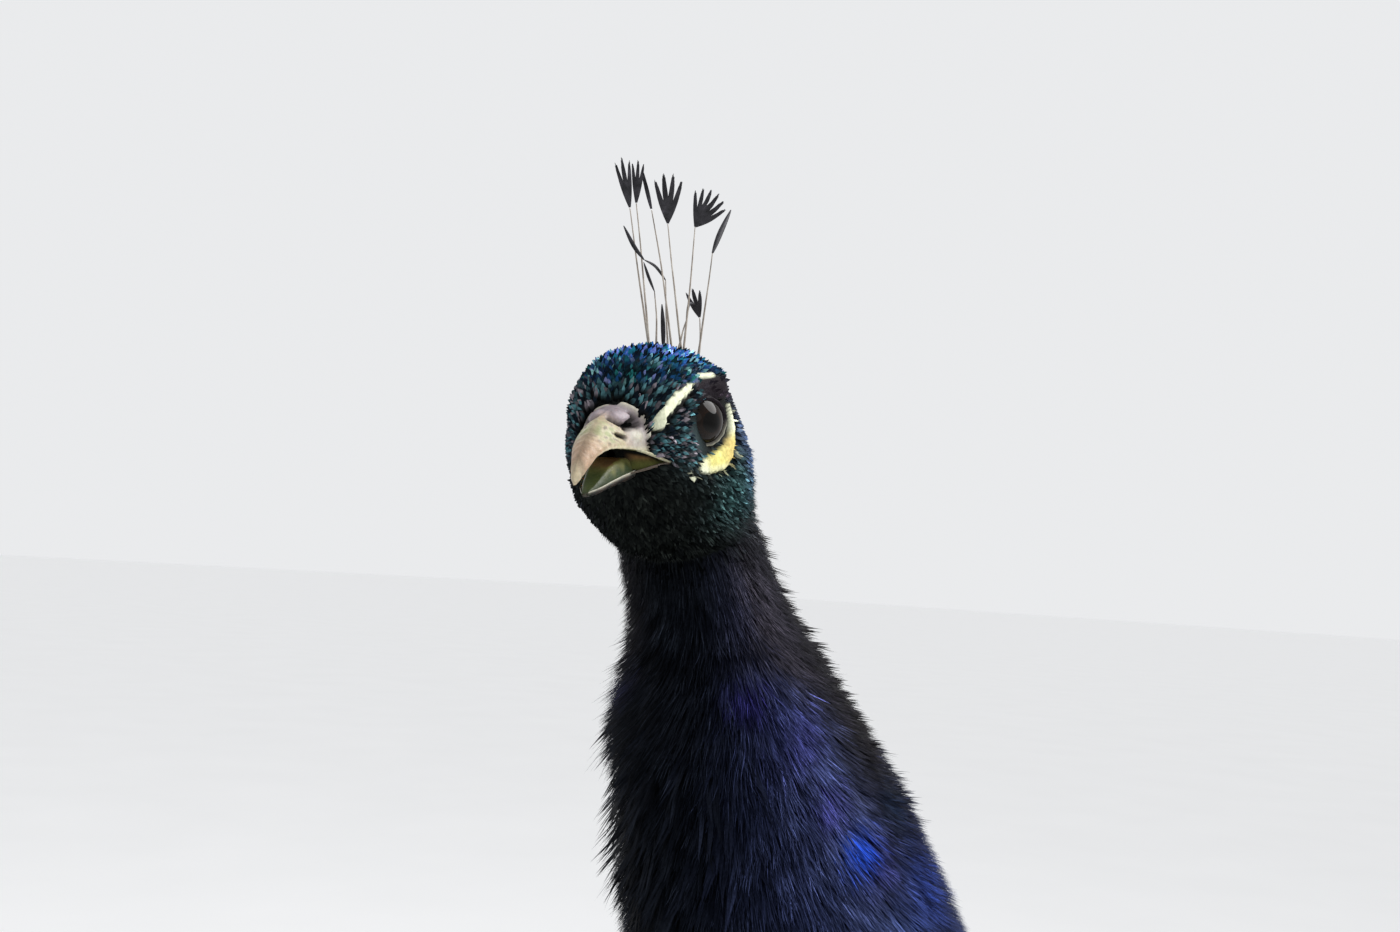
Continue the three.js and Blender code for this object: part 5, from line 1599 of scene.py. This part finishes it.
def fusedLegs():
    # thigh, shank, pad and toes of both legs made one surface by a fine remesh, flat on the floor
    shells = []
    for side in (1, -1):
        thigh = thighSurface(side)
        t, a = ringGrid(np.linspace(0.0, 1, 60), around=40)
        shells.append(shellFrom(thigh["point"](t, a, -thigh["depth"](t))))
        shells += [shankShell(side), padShell(side)] + [toeShell(side, name) for name in legSpec["toes"]]
    verts, faces = joinShells(shells)
    rough = meshFrom("legs_rough", verts, faces, shadeShellFinish.material)
    remesh = rough.modifiers.new("fuse", "REMESH")
    remesh.mode, remesh.voxel_size = "VOXEL", legSpec["voxel"]
    soften = rough.modifiers.new("soften", "SMOOTH")
    soften.iterations, soften.factor = 3, 0.5
    rough.modifiers.new("thin", "DECIMATE").ratio = legSpec["kept"]
    made = rough.evaluated_get(bpy.context.evaluated_depsgraph_get()).to_mesh()
    made.calc_loop_triangles()
    verts = np.empty(len(made.vertices) * 3)
    made.vertices.foreach_get("co", verts)
    faces = np.empty(len(made.loop_triangles) * 3, int)
    made.loop_triangles.foreach_get("vertices", faces)
    bpy.data.objects.remove(rough, do_unlink=True)
    verts = (verts.reshape(-1, 3) - shift) / mm
    verts[:, 2] = np.maximum(verts[:, 2], 0.0)
    return verts, faces.reshape(-1, 3)


legFinish = Finish("legSkin", Roughness=0.55, Specular_IOR_Level=0.4)
scuteWave = legFinish.math("SINE", legFinish.times(legFinish.redOf("scute"), 3.14159 * 26))
scuteBands = legFinish.math("ABSOLUTE", scuteWave)
cells = legFinish.output("ShaderNodeTexVoronoi", "Distance", {"Vector": legFinish.place(), "Scale": 420.0},
                         feature="DISTANCE_TO_EDGE")
legRelief = legFinish.plus(legFinish.remap(scuteBands, 0.0, 0.35, 0.0, 1.0),
                           legFinish.remap(cells, 0.0, 0.12, 0.0, 0.6))
legColour = legFinish.mottled(legFinish.colourOf("marking"), 160, 4, 0.7, 1.25)
legShade = legFinish.remap(legRelief, 0.0, 0.7, 0.55, 0.0)
legFinish.link(legFinish.blend(legShade, legColour, (0.03, 0.024, 0.018)), "Base Color")
legFinish.bumpFrom(legRelief, 0.0006, 0.7)


def thighCoat(side):
    # soft buff strands down the thigh to the hock
    surface = thighSurface(side)
    template = strandTuft(8, 0.5)
    t, a = rootsOn(surface, 0.04, 0.94, ([0, 1], [7.5, 4.2]))
    long = np.interp(t, [0, 1], [34, 14]) * rng.uniform(0.8, 1.2, len(t))
    verts = layOn(surface, t, a, template, long, 0.22 * long, strandHalf=0.5, proud=0.4, curl=1.2, sway=0.15,
                  loose=0.3)
    tint = np.array(legSpec["buff"]) * rng.uniform(0.75, 1.2, len(t))[:, None]
    faces = repeatFaces(template, len(t))
    return verts, faces, rootUvs(t, a, template, 0, 1), featherShade(template, len(t), tint, 0.4, 0.2), None


def clawShells():
    # each claw and spur: a round taper along a bent line
    shells = []
    for side in (1, -1):
        for name in legSpec["toes"]:
            _, end, heading, radius, long = toeLine(side, name)
            middle = end + 0.5 * long * heading + np.array((0, 0, 0.8))
            points = [end - 2.4 * heading, middle, end + long * heading]
            points[2][2] = 0.9
            t = np.linspace(0, 1, 24)
            r = radius * legSpec["toeTip"] * 0.78
            path = curveThrough(points, t)
            girth = mix(r, 0.35, t ** 1.1)
            path[:, 2] = np.maximum(path[:, 2], girth + 0.1)
            shells.append(shellFrom(tubeAlong(path, girth, 16)))
        root = legPoint(side, (49.8, 32.0, 58))
        tip = root + np.array((-side * 9.0, 13.0, 5.0))
        t = np.linspace(0, 1, 24)
        path = curveThrough([root, mix(root, tip, 0.55) - np.array((0, 0, 1.5)), tip], t)
        shells.append(shellFrom(tubeAlong(path, mix(3.2, 0.4, t), 18)))
    return joinShells(shells)


clawFinish = rampFinish("clawHorn", (240, 4), [(0.3, (0.020, 0.016, 0.013)), (0.7, (0.075, 0.06, 0.045))],
                        (900, 3, 0.0002, 0.5), Roughness=0.38)
clawNodes = [f"claw_{side}_{toe}" for side in ("left", "right") for toe in legSpec["toes"]]
addPiece("claws_and_spurs", clawShells(), clawFinish.material, "claws", *clawNodes, "spur_left",
         "spur_right")
addCoat("thigh_coat", joinCoats([thighCoat(1), thighCoat(-1)]), coatFinish("thighFeathers", 0.0, 0.65),
        "thigh_feathers")


print("skin")
# ---- the skin: the body's loft and the fused legs in one piece
skinFinish = markedFinish("birdSkin", (900, 4, 0.82, 1.12), (1500, 3, 0.0004, 0.6), Roughness=0.55,
                          Specular_IOR_Level=0.04)


def wholeSkin():
    # the body's loft and the legs as one mesh, with the horny legs in their own finish
    bodyVerts, bodyFaces, bodyTint = bodySkin()
    legVerts, legFaces = fusedLegs()
    high = smooth((legVerts[:, 2] - 150) / 14)
    legTint = lay(np.broadcast_to(np.array(legSpec["horn"]), legVerts.shape), colour("skin") * 2, high)
    foot = np.array([legPoint(side, legSpec["ankle"]) for side in (1, -1)])
    own = foot[(legVerts[:, 0] < 0).astype(int)]
    radial = np.hypot(legVerts[:, 0] - own[:, 0], legVerts[:, 1] - own[:, 1])
    scute = (np.where(legVerts[:, 2] > 20, legVerts[:, 2] - 20, 0)
             - radial * smooth((30 - legVerts[:, 2]) / 12))
    verts, faces = joinShells([(bodyVerts, bodyFaces), (legVerts, [legFaces])])
    scutes = np.zeros((len(verts), 3))
    scutes[len(bodyVerts):, 0] = scute / 100
    flesh = ["trunk", "breast", "neck_lower", "neck_upper", "head"]
    flesh += [f"{part}_{side}" for part in ("thigh", "shank", "foot") for side in ("left", "right")]
    skin = addPiece("skin", (verts, faces), skinFinish.material, "blue_feathers", *flesh,
                    colours={"marking": np.vstack([bodyTint, legTint]), "scute": scutes})
    skin.data.materials.append(legFinish.material)
    index = np.zeros(len(skin.data.polygons), np.int32)
    index[-len(legFaces):] = legVerts[legFaces].mean(1)[:, 2] < legSpec["hornBelow"]
    skin.data.polygons.foreach_set("material_index", index)


wholeSkin()


print("crest")
# ---- crest: bare shafts with a wedge of barbs at each tip, some worn to a single dark blade
crestSpec = {
    "shaft": (0.33, 0.14), "barbHalf": 0.27, "rightwards": (0.94, 0.34, 0.0),
    # root, fan's foot and tip as forward, up, side; opening left and right in degrees; clumps; barbs
    "fans": [
        ((-9.5, 15, -3.6), (-4.4, 53.5, -7.5), (0.6, 65.2, -7.5), 15, 12, 3, 30),
        ((-8.5, 15, -3.4), (-5.0, 54.7, -6.0), (-4.8, 65.2, -6.2), 9, 17, 3, 30),
        ((-18, 15, -0.5), (-11.0, 53.4, -4.0), (-4.6, 62.9, -4.4), 5, 6, 1, 12),
        ((-19.5, 14.5, 1.8), (-15.1, 50.1, -1.0), (-15.5, 62.8, -1.0), 24, 24, 4, 32),
        ((-15.5, 15, 3.2), (-24.2, 49.9, 3.5), (-24.2, 60.4, 3.2), 5, 68, 6, 54),
        ((-25, 14, 4.2), (-29.5, 25.9, 3.2), (-28.5, 33.8, 3.0), 34, 12, 3, 18),
    ],
    # dark blades: points along each, and half width
    "blades": [
        ([(-24.8, 43, 8.2), (-29.5, 48.5, 8.8), (-36, 55.2, 9.8)], 0.75),
        ([(-19.3, 35.7, -3), (-11.5, 38.9, -3), (-4.2, 40.4, -3.6)], 0.42),
        ([(-4.2, 40.4, -3.6), (1.0, 43.6, -4.4), (6.5, 48.2, -5.0)], 0.55),
        ([(-10.6, 32.5, -3), (-6.0, 36.2, -3), (-3.0, 39.7, -3.2)], 0.40),
        ([(-15.0, 16.5, -2), (-14.6, 23.0, -2), (-13.6, 29.3, -2)], 0.62),
        ([(-18.6, 25.0, 3), (-21.0, 29.4, 3), (-25.5, 29.6, 3.1)], 0.35),
    ],
    # bare shafts that end without a fan: root and tip
    "bare": [((-16, 15, -1.0), (-19.3, 35.7, -3.0)), ((-25, 14, 4.0), (-24.8, 43.0, 8.2)),
             ((-11, 15, -2.8), (-10.6, 32.5, -3.0)), ((-14, 15, 2.0), (-18.6, 25.0, 3.0))],
}


def crestShaft(start, tip, number):
    # a bowed line from root to tip, thinner upwards
    k = np.linspace(0, 1, 26)
    start, tip = headToBird(*start), headToBird(*tip)
    bow = np.sin(k * pi)[:, None] * np.array([0.3 * ((number % 3) - 1), 0.35, 0.3])
    wave = 0.15 * np.sin(k * (7 + number % 4) + number)[:, None] * np.array([1, 0.4, 0])
    wave = wave * k[:, None] * (1 - k[:, None])
    path = turnHead(start + (tip - start) * k[:, None] + bow + wave)
    return shellFrom(tubeAlong(path, mix(*crestSpec["shaft"], k), 7))


def crestFan(foot, tip, left, right, clumps, count):
    # barbs that leave the shaft in turn and spread to a wedge, whose tips draw together into fingers:
    # line(s) = (1-s)^2 root + 2s(1-s) bend + s^2 tip
    foot, tip = turnHead(headToBird(*foot)), turnHead(headToBird(*tip))
    long = np.linalg.norm(tip - foot)
    on = (tip - foot) / long
    out = turnHead(headToBird(0, 40, 0) + np.array(crestSpec["rightwards"])) - turnHead(headToBird(0, 40, 0))
    out = unit(out - on * (out @ on))
    through = np.cross(on, out)
    share = (np.arange(count) + 0.5) / count
    place = share * clumps
    across = place - np.floor(place) - 0.5  # where the barb stands in its finger
    spread = mix(-radians(left), radians(right), share)
    drawn = mix(-radians(left), radians(right), (np.floor(place) + 0.5 + 0.5 * across) / clumps)
    reach = (long * (1 - 0.2 * (2 * share - 1) ** 2) * (1.04 - 0.22 * (2 * across) ** 2)
             * rng.uniform(0.96, 1.02, count))

    def at(angle, far):
        return foot + (far * reach)[:, None] * (np.cos(angle)[:, None] * on + np.sin(angle)[:, None] * out)
    root = foot + on * (long * 0.42 * (1 - np.abs(2 * share - 1)))[:, None]
    end = at(drawn, 1.0) + rng.normal(0, 0.25, count)[:, None] * through
    bend = at(spread * 1.12, 0.58)
    s = np.linspace(0, 1, 6)[None, :, None]
    line = (1 - s) ** 2 * root[:, None] + 2 * s * (1 - s) * bend[:, None] + s ** 2 * end[:, None]
    width = crestSpec["barbHalf"] * (1 - 0.75 * s ** 2)
    edge = unit(np.cross(through, end - root))[:, None] * width
    strip = np.stack([line - edge, line + edge], 2).reshape(-1, 3)
    return strip, [repeated(gridFaces(6, 2, closed=False), count, 12)]


shaftStops = [(0.3, (0.13, 0.11, 0.09)), (0.55, (0.30, 0.26, 0.22)), (0.75, (0.46, 0.43, 0.38))]
shaftFinish = rampFinish("crestShaft", (260, 3), shaftStops, (1500, 2, 0.0001, 0.4), Roughness=0.5)
fanStops = [(0.35, (0.016, 0.016, 0.018)), (0.6, (0.034, 0.033, 0.038)), (0.8, (0.070, 0.066, 0.080))]
fanFinish = rampFinish("crestFan", (420, 3), fanStops, (1800, 2, 0.0001, 0.4), Roughness=0.5, Metallic=0.3,
                       Specular_IOR_Level=0.15)

shells = [crestShaft(root, foot, number) for number, (root, foot, *_) in enumerate(crestSpec["fans"])]
shells += [crestShaft(root, tip, number) for number, (root, tip) in enumerate(crestSpec["bare"])]
addPiece("crest_shafts", joinShells(shells), shaftFinish.material, "crest_feathers", "crest")
shells = [crestFan(*fan[1:]) for fan in crestSpec["fans"]]
for points, half in crestSpec["blades"]:
    k = np.linspace(0, len(points) - 1, 20)
    taper = np.sin(pi * mix(0.06, 0.97, k / k[-1])) ** 0.7
    path = turnHead(headToBird(*tableAt(points, k).T))
    shells.append(shellFrom(tubeAlong(path, half * taper, 8, flat=0.45, face=(1, -1, 0))))
addPiece("crest_fans", joinShells(shells), fanFinish.material, "crest_feathers", "crest")


print("floor, light and camera")
stageSpec = {
    "floorHalf": 60.0, "sky": (0.955, 0.965, 0.98), "skyStrength": 0.86,
    # energy in watts, size in metres, and where it hangs from the bird's head
    "key": (30, 1.15, (0.62, 0.6, 1.0)), "fill": (3, 1.4, (1.0, -1.2, 0.3)),
    "rim": (4, 0.8, (-0.7, 0.7, 0.5)),
}
cameraSpec = {
    "azimuth": radians(45.1), "elevation": radians(-6.1), "distance": 0.3758,
    "pan": radians(-2.02), "tilt": radians(-1.7), "roll": radians(3.47), "lens": 38.0, "sensor": 36.0,
}


def buildStage():
    half = stageSpec["floorHalf"]
    mesh = bpy.data.meshes.new("floor")
    corners = [(-half, -half, 0), (half, -half, 0), (half, half, 0), (-half, half, 0)]
    mesh.from_pydata(corners, [], [(0, 1, 2, 3)])
    floorFinish = Finish("paleFloor", Roughness=0.85)
    paleStops = [(0.3, (0.94, 0.94, 0.94)), (0.7, (0.96, 0.96, 0.96))]
    floorFinish.link(floorFinish.ramp(floorFinish.noise(3, 3), paleStops), "Base Color")
    mesh.materials.append(floorFinish.material)
    floor = bpy.data.objects.new("floor", mesh)
    bpy.context.collection.objects.link(floor)
    world = bpy.data.worlds.new("studio")
    world.use_nodes = True
    world.node_tree.nodes["Background"].inputs["Color"].default_value = (*stageSpec["sky"], 1)
    world.node_tree.nodes["Background"].inputs["Strength"].default_value = stageSpec["skyStrength"]
    bpy.context.scene.world = world
    bpy.context.scene.view_settings.view_transform = "Standard"


def addLight(name, energy, size, offset, target):
    lamp = bpy.data.lights.new(name, "AREA")
    lamp.energy, lamp.size, lamp.shape = energy, size, "DISK"
    holder = bpy.data.objects.new(name, lamp)
    holder.location = target + Vector(offset)
    holder.rotation_euler = (-Vector(offset)).to_track_quat("-Z", "Y").to_euler()
    bpy.context.collection.objects.link(holder)


def placeCamera(target):
    az, el = cameraSpec["azimuth"], cameraSpec["elevation"]
    spot = target + cameraSpec["distance"] * Vector((sin(az) * cos(el), -cos(az) * cos(el), sin(el)))
    look = target - spot
    yaw = atan2(look.y, look.x) + cameraSpec["pan"]
    pitch = asin(look.z / look.length) + cameraSpec["tilt"]
    forward = Vector((cos(yaw) * cos(pitch), sin(yaw) * cos(pitch), sin(pitch)))
    right = forward.cross(Vector((0, 0, 1))).normalized()
    up = right.cross(forward)
    roll = cameraSpec["roll"]
    right, up = right * cos(roll) + up * sin(roll), up * cos(roll) - right * sin(roll)
    camera = bpy.data.objects.new("camera", bpy.data.cameras.new("camera"))
    camera.data.lens, camera.data.sensor_width = cameraSpec["lens"], cameraSpec["sensor"]
    camera.data.clip_start = 0.01
    camera.matrix_world = Matrix((right, up, -forward)).transposed().to_4x4()
    camera.location = spot
    bpy.context.collection.objects.link(camera)
    bpy.context.scene.camera = camera


headCentre = Vector(turnHead(headToBird(0.0, 0.0, 0.0)) * mm + shift)
buildStage()
for name in ("key", "fill", "rim"):
    addLight(name, *stageSpec[name], headCentre)
placeCamera(headCentre)
